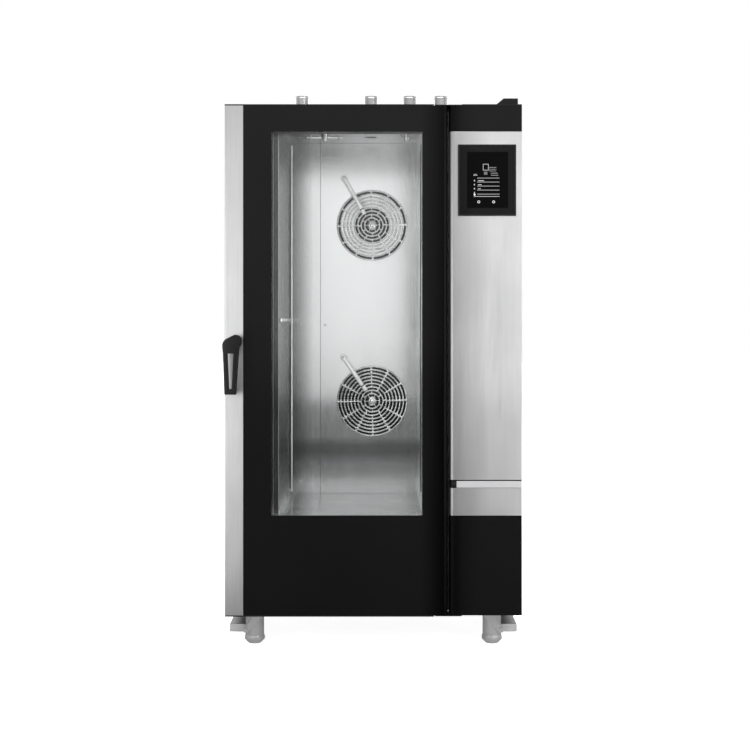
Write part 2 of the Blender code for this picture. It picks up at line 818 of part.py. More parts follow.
def build_handle():
    """A lever with a wide head and a tapered slot, on a boss that turns in the stile."""
    head = arc((HANDLE_X + 0.002, HANDLE_Z + 0.004), 0.0215, 10, 95, 6)
    points = [
        (-0.4553, 0.8712),
        (-0.4460, 1.0230),
        *head,
        (-0.4985, 1.0470),
        (-0.5015, 1.0390),
        (-0.4990, 1.0100),
        (-0.4945, 0.8712),
    ]
    handle = outline("door_handle", points, (HANDLE_FRONT_Y, HANDLE_FRONT_Y + 0.022), BLACK_PLASTIC, plane="XZ")
    slot = [(-0.4698, 0.8904), (-0.4646, 1.0074), (-0.4842, 1.0074), (-0.4792, 0.8904)]
    cut(handle, outline("handle_slot", slot, (HANDLE_FRONT_Y - 0.02, HANDLE_FRONT_Y + 0.04), plane="XZ", helper=True))
    boss_back = FRONT_Y - 0.0007
    join(handle, rod("handle_boss", (HANDLE_X, HANDLE_FRONT_Y + 0.015, HANDLE_Z), (HANDLE_X, boss_back, HANDLE_Z),
                     0.019, helper=True))
    cam_front, cam_back = DOOR_BACK_Y + 0.0037, DOOR_BACK_Y + 0.0067
    cam = rod("latch_cam", (HANDLE_X, boss_back + GAP, HANDLE_Z), (HANDLE_X, cam_back - 0.0005, HANDLE_Z), 0.006,
              BRUSHED)
    join(cam, box("cam_arm", (HANDLE_X - 0.030, cam_front, HANDLE_Z - 0.008),
                  (HANDLE_X + 0.008, cam_back, HANDLE_Z + 0.008), helper=True))
    return handle, cam


def build_door():
    door = pivot("door_hinge_axis", (HINGE_X, HINGE_Y, BODY_BOTTOM))
    carry(door, build_door_frame(), *build_door_glass(), build_door_stile(), build_drip_tray())
    handle_axis = pivot("handle_axis", (HANDLE_X, FRONT_Y, HANDLE_Z), parent=door)
    carry(handle_axis, *build_handle())


def build_door_fittings():
    """What the casing gives the door: two hinge brackets with pins, the catch and the seal."""
    for name, plate_low, pin_low, pin_high in (
        ("lower", BODY_BOTTOM - 0.0034, BODY_BOTTOM - 0.002, BODY_BOTTOM + 0.022),
        ("upper", BODY_TOP + 0.0004, BODY_TOP - 0.022, BODY_TOP + 0.002),
    ):
        plate = box(
            f"hinge_bracket_{name}",
            (HINGE_X - 0.030, FRONT_Y + 0.002, plate_low),
            (HINGE_X + 0.060, CASE_FRONT_Y - 0.0005, plate_low + 0.003),
            GALVANISED,
        )
        join(plate, rod(f"hinge_pin_{name}", (HINGE_X, HINGE_Y, pin_low), (HINGE_X, HINGE_Y, pin_high), 0.005,
                        helper=True))
    box(
        "latch_catch",
        (-0.4970, DOOR_BACK_Y + GAP, HANDLE_Z - 0.015),
        (-0.4915, CASE_FRONT_Y - GAP, HANDLE_Z + 0.015),
        POLISHED,
    )
    rim, width = 0.002, 0.015
    seal_front, seal_back = DOOR_BACK_Y + 0.0045, CASE_FRONT_Y - GAP
    seal = box(
        "door_seal",
        (CAVITY_LEFT - rim - width, seal_front, CAVITY_FLOOR - rim - width),
        (CAVITY_RIGHT + rim + width, seal_back, CAVITY_CEILING + rim + width),
        RUBBER,
    )
    cut(seal, box(
        "seal_inside",
        (CAVITY_LEFT - rim, seal_front - 0.02, CAVITY_FLOOR - rim),
        (CAVITY_RIGHT + rim, seal_back + 0.02, CAVITY_CEILING + rim),
        helper=True,
    ))


# Legs


def build_legs():
    """Four tubes under the base, each with a foot that screws in and out of it."""
    bore, top, bottom = LEG_RADIUS - 0.004, PANEL_BOTTOM - GAP, 0.030
    sleeve = [
        (0.045, top),
        (0.045, top - 0.004),
        (LEG_RADIUS, top - 0.004),
        (LEG_RADIUS, bottom),
        (bore, bottom),
        (bore, top),
    ]
    foot = [
        (0.0, 0.100),
        (0.020, 0.100),
        (0.020, bottom - GAP),
        (LEG_RADIUS + 0.0005, bottom - GAP),
        (FOOT_RADIUS, 0.022),
        (FOOT_RADIUS, 0.014),
        (0.022, 0.0),
        (0.0, 0.0),
    ]
    for end, y in LEG_YS.items():
        for side, x in (("left", -LEG_X), ("right", LEG_X)):
            turned(f"leg_{end}_{side}", sleeve, (x, y, 0), BRUSHED, closed=True)
            turned(f"levelling_foot_{end}_{side}", foot, (x, y, 0), BRUSHED)


def build_base_rails():
    """Bars along both sides, outside the legs, that tie the front legs to the rear ones."""
    inner, outer = LEG_X + LEG_RADIUS + GAP, HALF_WIDTH - 0.002
    for side, low, high in (("left", -outer, -inner), ("right", inner, outer)):
        box(f"base_rail_{side}", (low, FRONT_Y + 0.136, 0.038), (high, 0.400, 0.066), BRUSHED, bevel=0.002)


def main():
    vents, shafts, drain = vent_cutters(), shaft_cutters(), drain_cutter()
    build_casing(vents)
    build_front_frame()
    build_cavity_liner(vents, shafts, drain)
    build_insulation(vents, shafts, drain)
    build_baffle()
    grille_mesh = make_grille_mesh()
    for name, height in FAN_HEIGHTS.items():
        build_fan(name, height, grille_mesh)
    build_injectors()
    build_wash_arms()
    build_bumper()
    build_vents()
    build_drain()
    rear_fitting("water_inlet", WATER_INLET, 0.013, 0.019, 0.009, POLISHED)
    rear_fitting("cable_gland", CABLE_GLAND, 0.015, 0.022, 0.010, BLACK_PLASTIC)
    build_control_board()
    build_column()
    build_cowl()
    build_door()
    build_door_fittings()
    build_legs()
    build_base_rails()


main()
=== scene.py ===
# %% [markdown]
# # Combi steamer oven
# This notebook dresses a floor-standing combi steamer oven: a tall steel cabinet with a glass door on
# the left, a control column on the right and four feet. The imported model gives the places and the
# moving bodies. Every finish is made from shader nodes, and every added piece from mesh code.

import math

import bmesh
import bpy
from mathutils import Matrix, Vector


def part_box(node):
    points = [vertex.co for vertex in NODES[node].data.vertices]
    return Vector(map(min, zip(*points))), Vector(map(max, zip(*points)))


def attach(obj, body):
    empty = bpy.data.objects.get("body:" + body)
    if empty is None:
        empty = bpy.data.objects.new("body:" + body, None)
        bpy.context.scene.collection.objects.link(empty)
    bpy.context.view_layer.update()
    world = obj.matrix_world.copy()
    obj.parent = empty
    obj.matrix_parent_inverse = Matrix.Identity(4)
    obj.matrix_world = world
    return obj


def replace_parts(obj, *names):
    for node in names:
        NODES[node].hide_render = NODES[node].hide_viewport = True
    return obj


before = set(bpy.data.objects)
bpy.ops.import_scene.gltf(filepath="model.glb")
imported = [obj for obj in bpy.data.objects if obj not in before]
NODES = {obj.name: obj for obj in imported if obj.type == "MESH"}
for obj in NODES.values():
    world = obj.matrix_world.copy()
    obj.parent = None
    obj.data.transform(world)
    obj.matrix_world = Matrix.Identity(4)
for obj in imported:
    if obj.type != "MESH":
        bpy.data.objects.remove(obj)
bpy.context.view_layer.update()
SCENE = bpy.context.scene

# %% [markdown]
# ## Measures taken from the frame
# A maker sets everything out from a few datum faces. Here they are the door glass, the column plate,
# the casing and the cavity, each read from its own node, so that a piece always lands where it should.

# %% Datum faces
DOOR_LOW, DOOR_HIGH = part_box("door_outer_glass")
STILE_LOW, STILE_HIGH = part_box("door_stile")
FRAME_LOW, FRAME_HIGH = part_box("door_frame")
PLATE_LOW, PLATE_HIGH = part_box("control_plate")
BAFFLE_LOW, BAFFLE_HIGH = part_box("fan_baffle")
LINER_LOW, LINER_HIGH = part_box("cavity_liner")
ROOF_LOW, ROOF_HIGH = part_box("top_panel")
BACK_LOW, BACK_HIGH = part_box("back_panel")
FRONT = DOOR_LOW.y
SHEET = 0.002
GAP = 0.0003
WINDOW = ((-0.3425, 0.461), (0.1645, 1.753))
print("door", DOOR_LOW, DOOR_HIGH)

# %% [markdown]
# ## Node helpers
# A finish is a shader with a few patterns behind it. Noise that is stretched along one axis reads as
# brushing, and round noise reads as smudges or cast skin. These helpers keep each finish short.


# %% Node helpers
def feed(node, socket, value):
    """Links a pattern to a socket, or sets a plain number or colour on it."""
    target = node.inputs[socket]
    if isinstance(value, bpy.types.NodeSocket):
        node.id_data.links.new(value, target)
    elif isinstance(value, tuple) and len(value) < len(target.default_value):
        target.default_value = (*value, 1.0)
    else:
        target.default_value = value


def add_node(tree, kind, sockets):
    node = tree.nodes.new(f"ShaderNode{kind}")
    for socket, value in sockets.items():
        feed(node, socket, value)
    return node


def new_finish(name, colour, metallic, roughness):
    finish = bpy.data.materials.new(name)
    finish.use_nodes = True
    shader = finish.node_tree.nodes["Principled BSDF"]
    feed(shader, "Base Color", colour)
    feed(shader, "Metallic", metallic)
    feed(shader, "Roughness", roughness)
    return finish, finish.node_tree, shader


def noise(tree, scale, detail=3.0, roughness=0.55):
    """Noise in metres, stretched by a scale for each axis."""
    place = add_node(tree, "TexCoord", {})
    stretch = add_node(tree, "Mapping", {"Vector": place.outputs["Object"], "Scale": scale})
    settings = {"Scale": 1.0, "Detail": detail, "Roughness": roughness}
    pattern = add_node(tree, "TexNoise", settings)
    feed(pattern, "Vector", stretch.outputs["Vector"])
    return pattern.outputs["Fac"]


def even_noise(tree, scale, detail=4.0, roughness=0.6):
    return noise(tree, (scale, scale, scale), detail, roughness)


def ramp(tree, source, *stops):
    """Turns a pattern into colours: each stop is a position and a grey or a colour."""
    node = add_node(tree, "ValToRGB", {"Fac": source})
    for i, (position, shade) in enumerate(stops):
        colour = shade if isinstance(shade, tuple) else (shade, shade, shade)
        element = node.color_ramp.elements[i] if i < 2 else node.color_ramp.elements.new(position)
        element.position = position
        element.color = (*colour, 1.0)
    return node.outputs["Color"]


def span(tree, source, low, high, out_low=0.0, out_high=1.0):
    """Maps a range of a pattern to another range, held at its ends."""
    ends = {"From Min": low, "From Max": high, "To Min": out_low, "To Max": out_high}
    node = add_node(tree, "MapRange", ends)
    feed(node, "Value", source)
    return node.outputs["Result"]


def blend(tree, factor, first, second, kind="MIX"):
    node = tree.nodes.new("ShaderNodeMix")
    node.data_type = "RGBA"
    node.blend_type = kind
    feed(node, "Factor", factor)
    feed(node, "A", first)
    feed(node, "B", second)
    return node.outputs["Result"]


def multiplied(tree, first, second):
    return blend(tree, 1.0, first, second, "MULTIPLY")


def arithmetic(tree, kind, first, second):
    node = add_node(tree, "Math", {0: first, 1: second})
    node.operation = kind
    return node.outputs["Value"]


def emboss(tree, shader, height, depth, strength=1.0):
    """Puts a fine relief on the surface, its depth in metres."""
    node = add_node(tree, "Bump", {"Distance": depth, "Strength": strength, "Height": height})
    feed(shader, "Normal", node.outputs["Normal"])


def split(tree, source, axis):
    return add_node(tree, "SeparateXYZ", {"Vector": source}).outputs[axis]


def position(tree, axis):
    return split(tree, add_node(tree, "TexCoord", {}).outputs["Object"], axis)


def worn_edges(tree, radius):
    """Where the surface turns within the radius given, which is where hands and trolleys rub."""
    rounded = add_node(tree, "Bevel", {"Radius": radius})
    rounded.samples = 4
    true = add_node(tree, "NewGeometry", {})
    dot = add_node(tree, "VectorMath", {0: rounded.outputs["Normal"], 1: true.outputs["True Normal"]})
    dot.operation = "DOT_PRODUCT"
    return span(tree, dot.outputs["Value"], 0.96, 0.75)


def tone_down(finish, shading):
    """Multiplies a finish's colour by a pattern, which a function of the node tree makes."""
    tree = finish.node_tree
    shader = tree.nodes["Principled BSDF"]
    tone = shader.inputs["Base Color"].links[0].from_socket
    feed(shader, "Base Color", multiplied(tree, tone, shading(tree)))


# %% [markdown]
# ## Brushed steel
# The cabinet is stainless sheet with a brushed face. The belt leaves long fine scratches, so the
# pattern is noise squeezed across the grain. It drives the colour a little, the roughness more, and a
# bump of a few microns. A second, slow noise lays down the smudges of daily wiping. The cavity, the
# baffle, the control plate and the rails then get painted shade: their colour is darker where the oven shades
# them.


# %% Brushed steel
GRAIN = {"X": (7.0, 420.0, 420.0), "Y": (420.0, 7.0, 420.0), "Z": (420.0, 420.0, 7.0)}


def brushed(name, shade, rough, grain, contrast=0.05, painted_side_shade=None, metallic=1.0):
    """Brushed sheet. A painted side shade is two places across the oven and how dark the first one is: shade
    painted into the colour, darkest at the first place.
    """
    colour = (shade, shade, shade * 1.01)
    finish, tree, shader = new_finish(name, colour, metallic, rough)
    fine = noise(tree, GRAIN[grain], 4.0, 0.6)
    smudge = noise(tree, (3.1, 3.1, 2.3), 4.0, 0.6)
    dark = tuple(part * (1.0 - contrast) for part in colour)
    light = tuple(min(1.0, part * (1.0 + contrast)) for part in colour)
    scratched = ramp(tree, fine, (0.30, dark), (0.72, light))
    wiped = ramp(tree, smudge, (0.35, 0.93), (0.65, 1.0))
    tone = multiplied(tree, scratched, wiped)
    # Painted shade: the colour darkens towards one side.
    if painted_side_shade:
        across = span(tree, position(tree, "X"), painted_side_shade[0], painted_side_shade[1])
        tone = multiplied(tree, tone, ramp(tree, across, (0.0, painted_side_shade[2]), (1.0, 1.0)))
    feed(shader, "Base Color", tone)
    grainy = span(tree, fine, 0.3, 0.7, rough - 0.04, rough + 0.04)
    patchy = span(tree, smudge, 0.3, 0.7, -0.03, 0.04)
    feed(shader, "Roughness", arithmetic(tree, "ADD", grainy, patchy))
    feed(shader, "Anisotropic", 0.35)
    emboss(tree, shader, fine, 0.00011 * rough, 0.5)
    return finish


STEEL_UPRIGHT = brushed("brushed_steel_upright_grain", 0.72, 0.34, "Z")
STEEL_LEVEL = brushed("brushed_steel_level_grain", 0.70, 0.34, "X")
STEEL_DEEP = brushed("brushed_steel_front_to_back", 0.66, 0.36, "Y")
# Painted shade: the control plate darkens towards the door.
STEEL_PLATE = brushed("control_plate_steel", 0.80, 0.36, "Z", 0.03, painted_side_shade=(0.262, 0.39, 0.62))
STEEL_CAVITY = brushed("cavity_steel", 0.95, 0.22, "Z", 0.12)
# Painted shade: the baffle darkens towards its left edge.
STEEL_BAFFLE = brushed("baffle_steel", 0.84, 0.19, "Z", 0.02, painted_side_shade=(-0.312, -0.232, 0.36))
STEEL_LEG = brushed("leg_steel", 0.40, 0.44, "Z", 0.04, metallic=0.45)
STEEL_GRILLE = brushed("grille_steel", 0.80, 0.26, "X", 0.02)
STEEL_TUBE = brushed("blasted_tube_steel", 0.95, 0.40, "Z", 0.02, metallic=0.25)
STEEL_RAIL = brushed("blasted_rail_steel", 0.52, 0.42, "X", 0.06, metallic=0.5)


def painted_wall_shade(tree):
    """Paints shade into the walls and the left of the ceiling, while the floor keeps its tone."""
    left_to_middle = span(tree, position(tree, "X"), -0.325, 0.02)
    across = ramp(tree, left_to_middle, (0.0, 0.06), (0.12, 0.12), (0.40, 0.38), (1.0, 0.90))
    above_floor = span(tree, position(tree, "Z"), 0.45, 0.52)
    height = ramp(tree, above_floor, (0.0, 1.0), (0.2, 1.0), (1.0, 0.0))
    return blend(tree, height, across, (1.0, 1.0, 1.0))


def painted_band_under_fan(tree):
    """Painted reflection: a dark level band on the baffle, between its lower edge and the lower fan."""
    fan_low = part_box("fan_grille_lower")[0].z
    rise = span(tree, position(tree, "Z"), BAFFLE_LOW.z, fan_low)
    return ramp(tree, rise, (0.0, 1.0), (0.52, 1.0), (0.72, 0.50), (0.84, 0.50), (1.0, 1.0))


def shaded_tops(tree):
    """Darkens faces that look up, as the rails lie in the oven's own shade."""
    facing = add_node(tree, "NewGeometry", {}).outputs["True Normal"]
    return ramp(tree, split(tree, facing, "Z"), (0.5, 1.0), (0.8, 0.12))


# Shade is painted into the colours of the cavity, the baffle and the rails.
tone_down(STEEL_CAVITY, painted_wall_shade)
tone_down(STEEL_BAFFLE, painted_band_under_fan)
tone_down(STEEL_RAIL, shaded_tops)
feed(STEEL_CAVITY.node_tree.nodes["Principled BSDF"], "Specular Tint", (0.85, 0.85, 0.85))
print("brushed steel in ten finishes")

# %% [markdown]
# ## Polished steel
# Tubes, nozzles and fasteners are drawn and polished. The colour hardly changes, so the look comes
# from low roughness with a faint cloudiness, and from shallow waves left by drawing the tube.


# %% Polished steel
def polished(name, shade, rough):
    finish, tree, shader = new_finish(name, (shade, shade, shade * 1.01), 1.0, rough)
    cloud = even_noise(tree, 26.0)
    fine = noise(tree, (300.0, 300.0, 40.0), 2.0, 0.5)
    feed(shader, "Base Color", ramp(tree, cloud, (0.3, shade * 0.92), (0.7, min(1.0, shade * 1.06))))
    feed(shader, "Roughness", span(tree, cloud, 0.3, 0.7, rough - 0.04, rough + 0.06))
    emboss(tree, shader, fine, 0.00003, 0.4)
    return finish


POLISHED = polished("polished_steel", 0.86, 0.16)
TUBE = polished("vent_tube_steel", 0.60, 0.20)
DULL = polished("dull_fastener", 0.55, 0.32)
# Near-black steel for the fan wheels, the heating rings and the lower inlet ring: painted shade, so the space
# behind the grille slots reads dark.
SHADED = polished("painted_shade_fan_steel", 0.018, 0.55)

# %% [markdown]
# ## Galvanised sheet
# The back and the base are zinc-coated. Molten zinc freezes in flat crystals called spangle, and a
# Voronoi pattern gives exactly such cells: one random grey for each, with a different gloss.


# %% Galvanised sheet
def galvanised():
    finish, tree, shader = new_finish("galvanised_sheet", (0.52, 0.53, 0.54), 1.0, 0.45)
    place = add_node(tree, "TexCoord", {})
    cells = add_node(tree, "TexVoronoi", {"Scale": 85.0, "Vector": place.outputs["Object"]})
    grey = add_node(tree, "RGBToBW", {"Color": cells.outputs["Color"]}).outputs["Val"]
    spangle = ramp(tree, grey, (0.2, (0.57, 0.58, 0.60)), (0.8, (0.67, 0.68, 0.69)))
    stain = ramp(tree, noise(tree, (4.0, 4.0, 4.0), 4.0), (0.35, 0.92), (0.6, 1.0))
    feed(shader, "Base Color", multiplied(tree, spangle, stain))
    feed(shader, "Roughness", span(tree, grey, 0.2, 0.8, 0.42, 0.52))
    emboss(tree, shader, grey, 0.00002, 0.2)
    return finish


GALVANISED = galvanised()
print("galvanised spangle")

# %% [markdown]
# ## Black glass
# The front of the door, and the column above and below the steel, are glass enamelled black from
# behind. It is nearly black with a sharp gloss. Light and shade are painted into its colour: it is a
# shade lighter high up as painted light, and darkest beside the joint between the door and the column
# as painted shade.


# %% Black glass
def black_glass():
    finish, tree, shader = new_finish("black_enamelled_glass", (0.006, 0.006, 0.0065), 0.0, 0.06)
    across = span(tree, position(tree, "X"), -0.50, 0.50)
    # Painted shade: the colour darkens in a narrow band beside the joint between door and column.
    joint_shade_stops = ((0.0, 1.0), (0.66, 1.0), (0.735, 0.12), (0.765, 0.10), (0.80, 0.7), (0.85, 1.0))
    joint_shade = ramp(tree, across, *joint_shade_stops)
    # Painted light: the colour is lighter high up on the sheet.
    height = ramp(tree, span(tree, position(tree, "Z"), 0.12, 1.86), (0.0, 0.55), (1.0, 1.0))
    thin, thick = (0.0070, 0.0070, 0.0074), (0.0085, 0.0085, 0.0089)
    depth = ramp(tree, noise(tree, (2.0, 2.0, 2.0), 2.0), (0.3, thin), (0.7, thick))
    feed(shader, "Base Color", multiplied(tree, multiplied(tree, joint_shade, height), depth))
    smear = noise(tree, (5.0, 5.0, 3.0), 5.0, 0.6)
    polish = span(tree, smear, 0.35, 0.75, 0.03, 0.10)
    rolled = ramp(tree, across, (0.73, 0.0), (0.745, 0.5), (0.765, 0.5), (0.785, 0.0))
    feed(shader, "Roughness", arithmetic(tree, "MAXIMUM", polish, rolled))
    emboss(tree, shader, noise(tree, (6.0, 6.0, 6.0), 1.0), 0.00006, 0.15)
    feed(shader, "Specular IOR Level", 0.10)
    return finish


BLACK_GLASS = black_glass()

# %% [markdown]
# ## Clear glass
# The window and the inner pane are toughened glass. A glass shader bends the light, but it also keeps
# lamps from reaching what is behind, so rays towards lamps pass straight through a clear shader.


# %% Clear glass
def clear_glass():
    finish, tree, shader = new_finish("clear_toughened_glass", (0.985, 0.993, 0.99), 0.0, 0.0)
    feed(shader, "Transmission Weight", 1.0)
    feed(shader, "IOR", 1.45)
    feed(shader, "Specular IOR Level", 0.35)
    haze = noise(tree, (4.0, 4.0, 3.0), 4.0, 0.6)
    feed(shader, "Roughness", span(tree, haze, 0.5, 0.8, 0.0, 0.006))
    clear = add_node(tree, "BsdfTransparent", {"Color": (0.97, 0.98, 0.975)})
    path = add_node(tree, "LightPath", {})
    ways = {"Fac": path.outputs["Is Shadow Ray"], 1: shader.outputs["BSDF"], 2: clear.outputs["BSDF"]}
    choice = add_node(tree, "MixShader", ways)
    feed(tree.nodes["Material Output"], "Surface", choice.outputs["Shader"])
    return finish


CLEAR_GLASS = clear_glass()
print("glass, black and clear")

# %% [markdown]
# ## Black coats and mouldings
# Powder coat on the folded steel has a slight orange peel. The handle, the hood and the sockets are
# moulded plastic with a fine spark-eroded grain, rubbed lighter and shinier on the edges that are
# held. Both start from the same recipe with different scales.


# %% Black coats and mouldings
def coated(name, shade, rough, scale, depth, metallic=0.0, wear=0.0015, rubbed=2.6):
    finish, tree, shader = new_finish(name, (shade, shade, shade * 1.04), metallic, rough)
    skin = even_noise(tree, scale, 2.0, 0.5)
    patch = even_noise(tree, 14.0)
    base = ramp(tree, patch, (0.3, shade * 0.85), (0.7, shade * 1.2))
    edges = worn_edges(tree, wear)
    light = (shade * rubbed, shade * rubbed, shade * rubbed * 1.03)
    feed(shader, "Base Color", blend(tree, edges, base, light))
    dull = span(tree, patch, 0.3, 0.7, rough - 0.04, rough + 0.06)
    shine = arithmetic(tree, "MULTIPLY", edges, 0.12)
    feed(shader, "Roughness", arithmetic(tree, "SUBTRACT", dull, shine))
    emboss(tree, shader, skin, depth, 0.4)
    feed(shader, "Specular IOR Level", 0.22)
    return finish


BLACK_COAT = coated("black_powder_coat", 0.006, 0.45, 900.0, 0.00006)
BLACK_PLASTIC = coated("black_moulded_plastic", 0.005, 0.42, 1800.0, 0.00005)
HANDLE_PLASTIC = coated("handle_plastic", 0.0055, 0.36, 1600.0, 0.00004, wear=0.002, rubbed=2.0)
RUBBER = coated("silicone_rubber", 0.022, 0.70, 500.0, 0.00008, rubbed=1.4)
CASTING = coated("cast_motor_housing", 0.16, 0.55, 420.0, 0.00020, metallic=0.6, rubbed=1.6)
SCREEN = coated("screen_glass", 0.0018, 0.12, 700.0, 0.00001, rubbed=1.0)
feed(SCREEN.node_tree.nodes["Principled BSDF"], "Specular IOR Level", 0.05)

# %% [markdown]
# ## Wool and circuit board
# Two finishes that only show when the oven is opened for service. Mineral wool is a mat of short
# yellow fibres. The board is green resist with paler copper lanes, which a brick pattern draws.


# %% Wool and circuit board
def mineral_wool():
    finish, tree, shader = new_finish("mineral_wool", (0.60, 0.53, 0.34), 0.0, 0.95)
    fibre = noise(tree, (160.0, 40.0, 220.0), 6.0, 0.7)
    tone = ramp(tree, fibre, (0.3, (0.42, 0.36, 0.20)), (0.7, (0.74, 0.67, 0.46)))
    feed(shader, "Base Color", tone)
    feed(shader, "Roughness", span(tree, fibre, 0.3, 0.7, 0.85, 1.0))
    emboss(tree, shader, fibre, 0.0012, 0.8)
    return finish


def circuit_board():
    finish, tree, shader = new_finish("circuit_board", (0.02, 0.15, 0.07), 0.0, 0.4)
    place = add_node(tree, "TexCoord", {})
    turn = add_node(tree, "Mapping", {"Vector": place.outputs["Object"]})
    turn.inputs["Rotation"].default_value = (0.0, math.radians(90), 0.0)
    greens = {"Color1": (0.012, 0.10, 0.045), "Color2": (0.02, 0.15, 0.06), "Mortar": (0.10, 0.30, 0.14)}
    lanes = add_node(tree, "TexBrick", {"Scale": 60.0, "Mortar Size": 0.03, **greens})
    feed(lanes, "Vector", turn.outputs["Vector"])
    feed(shader, "Base Color", lanes.outputs["Color"])
    feed(shader, "Roughness", span(tree, lanes.outputs["Fac"], 0.0, 1.0, 0.45, 0.25))
    emboss(tree, shader, lanes.outputs["Fac"], 0.00005, 0.5)
    return finish


WOOL = mineral_wool()
BOARD = circuit_board()

# %% [markdown]
# ## Screen light
# The display shows a dim menu. Its marks give light, with a fine dot pattern as a panel has.


# %% Screen light
def screen_light(name, shade, strength):
    finish, tree, shader = new_finish(name, (0.02, 0.02, 0.02), 0.0, 0.3)
    dots = noise(tree, (1500.0, 1500.0, 1500.0), 1.0)
    feed(shader, "Emission Color", ramp(tree, dots, (0.2, shade * 0.85), (0.8, shade)))
    feed(shader, "Emission Strength", strength)
    return finish


MARK = screen_light("screen_mark", 0.9, 0.80)
MARK_BRIGHT = screen_light("screen_mark_bright", 1.0, 1.2)
print("finishes", len(bpy.data.materials))

# %% [markdown]
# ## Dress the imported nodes
# Nodes whose shape is already right stay, and get one of the finishes above. The table goes by
# finish, the way a workshop sorts parts for the polisher, the plater and the paint line.

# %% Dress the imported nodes
DRESS = (
    (STEEL_PLATE, "control_plate lower_plate"),
    (STEEL_UPRIGHT, "door_stile front_frame"),
    (STEEL_LEVEL, "door_drip_tray latch_cam"),
    (STEEL_RAIL, "seam_strip base_rail_left base_rail_right"),
    (STEEL_DEEP, "top_panel"),
    (STEEL_CAVITY, "cavity_liner"),
    (STEEL_LEG, "leg_front_left leg_front_right leg_rear_left leg_rear_right"),
    (STEEL_LEG, "levelling_foot_front_left levelling_foot_front_right"),
    (STEEL_LEG, "levelling_foot_rear_left levelling_foot_rear_right"),
    (TUBE, "vent_tube_1 vent_tube_2 vent_tube_3 vent_tube_4"),
    # Painted shade: the fan wheels and heating rings take the near-black finish.
    (SHADED, "heating_ring_upper heating_ring_lower fan_wheel_upper fan_wheel_lower"),
    (POLISHED, "wash_arm_left wash_arm_right wall_bumper_left latch_catch"),
    (POLISHED, "water_inlet"),
    (GALVANISED, "base_plate back_panel drain_pipe"),
    (BLACK_COAT, "door_frame column_channel hinge_bracket_lower hinge_bracket_upper"),
    (BLACK_GLASS, "fascia_upper fascia_lower touch_display"),
    (CLEAR_GLASS, "door_inner_glass"),
    (BLACK_PLASTIC, "probe_socket air_cowl cable_gland"),
    (RUBBER, "door_seal"),
    (WOOL, "insulation"),
    (BOARD, "control_board"),
    (CASTING, "fan_motor_upper fan_motor_lower"),
)
for finish, names in DRESS:
    for name in names.split():
        mesh = NODES[name].data
        mesh.materials.clear()
        mesh.materials.append(finish)
print("dressed", sum(len(names.split()) for finish, names in DRESS))

# %% [markdown]
# ## Mesh helpers
# New pieces are drawn with bmesh in the frame's own metres, so an object's origin is the frame's
# origin. `settle` welds, smooths and links a piece, and says which body it moves with.


# %% Mesh helpers
def settle(name, bm, finishes, body, slot, sharp=35, bevel=0.0, segments=2):
    bmesh.ops.remove_doubles(bm, verts=bm.verts, dist=0.000001)
    bmesh.ops.recalc_face_normals(bm, faces=bm.faces)
    mesh = bpy.data.meshes.new(name)
    bm.to_mesh(mesh)
    bm.free()
    for finish in finishes if isinstance(finishes, (list, tuple)) else (finishes,):
        mesh.materials.append(finish)
    mesh.shade_smooth()
    mesh.set_sharp_from_angle(angle=math.radians(sharp))
    piece = bpy.data.objects.new(name, mesh)
    SCENE.collection.objects.link(piece)
    if bevel:
        rounding = piece.modifiers.new("Rounded edges", "BEVEL")
        rounding.width = bevel
        rounding.segments = segments
        rounding.limit_method = "ANGLE"
        rounding.harden_normals = True
    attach(piece, body)
    return piece


def add_block(bm, low, high):
    low, high = Vector(low), Vector(high)
    made = bmesh.ops.create_cube(bm, size=1.0)["verts"]
    bmesh.ops.scale(bm, vec=high - low, verts=made)
    bmesh.ops.translate(bm, vec=(low + high) / 2, verts=made)
    return made


def blocks(name, spans, finish, body, slot, bevel=0.0004):
    bm = bmesh.new()
    for low, high in spans:
        add_block(bm, low, high)
    return settle(name, bm, finish, body, slot, bevel=bevel)


def skin_faces(bm, loops):
    """Joins each closed loop of points to the next one."""
    for here, there in zip(loops, loops[1:]):
        for k in range(len(here)):
            after = (k + 1) % len(here)
            bm.faces.new((here[k], here[after], there[after], there[k]))


TURNS = {
    "Z": Matrix.Identity(3),
    "Y": Matrix.Rotation(math.radians(-90), 3, "X"),
    "X": Matrix.Rotation(math.radians(90), 3, "Y"),
}


def add_turned(bm, profile, centre, axis="Z", steps=48, closed=False):
    """Turns (radius, height) points about an axis, as on a lathe."""
    rings = []
    for i in range(steps):
        angle = math.tau * i / steps
        ring = []
        for radius, height in profile:
            point = Vector((radius * math.cos(angle), radius * math.sin(angle), height))
            ring.append(bm.verts.new(Vector(centre) + TURNS[axis] @ point))
        rings.append(ring)
    count = len(profile)
    for i in range(steps):
        here, there = rings[i], rings[(i + 1) % steps]
        for k in range(count if closed else count - 1):
            after = (k + 1) % count
            bm.faces.new((here[k], there[k], there[after], here[after]))


def turned(name, profile, centre, axis, steps, finish, body, slot, closed=False, **looks):
    bm = bmesh.new()
    add_turned(bm, profile, centre, axis, steps, closed)
    return settle(name, bm, finish, body, slot, **looks)


def arc(centre, radius, start, end, steps):
    angles = [math.radians(start + (end - start) * i / steps) for i in range(steps + 1)]
    return [(centre[0] + radius * math.cos(a), centre[1] + radius * math.sin(a)) for a in angles]


def add_prism(bm, points, low, high, plane="XZ"):
    """A flat outline pushed through a span of the third axis."""
    axes = {"XZ": (0, 2, 1), "XY": (0, 1, 2), "YZ": (1, 2, 0)}[plane]
    ends = []
    for depth in (low, high):
        loop = []
        for first, second in points:
            place = [0.0, 0.0, 0.0]
            place[axes[0]], place[axes[1]], place[axes[2]] = first, second, depth
            loop.append(bm.verts.new(place))
        ends.append(loop)
    bm.faces.new(ends[0])
    bm.faces.new(ends[1])
    skin_faces(bm, ends)


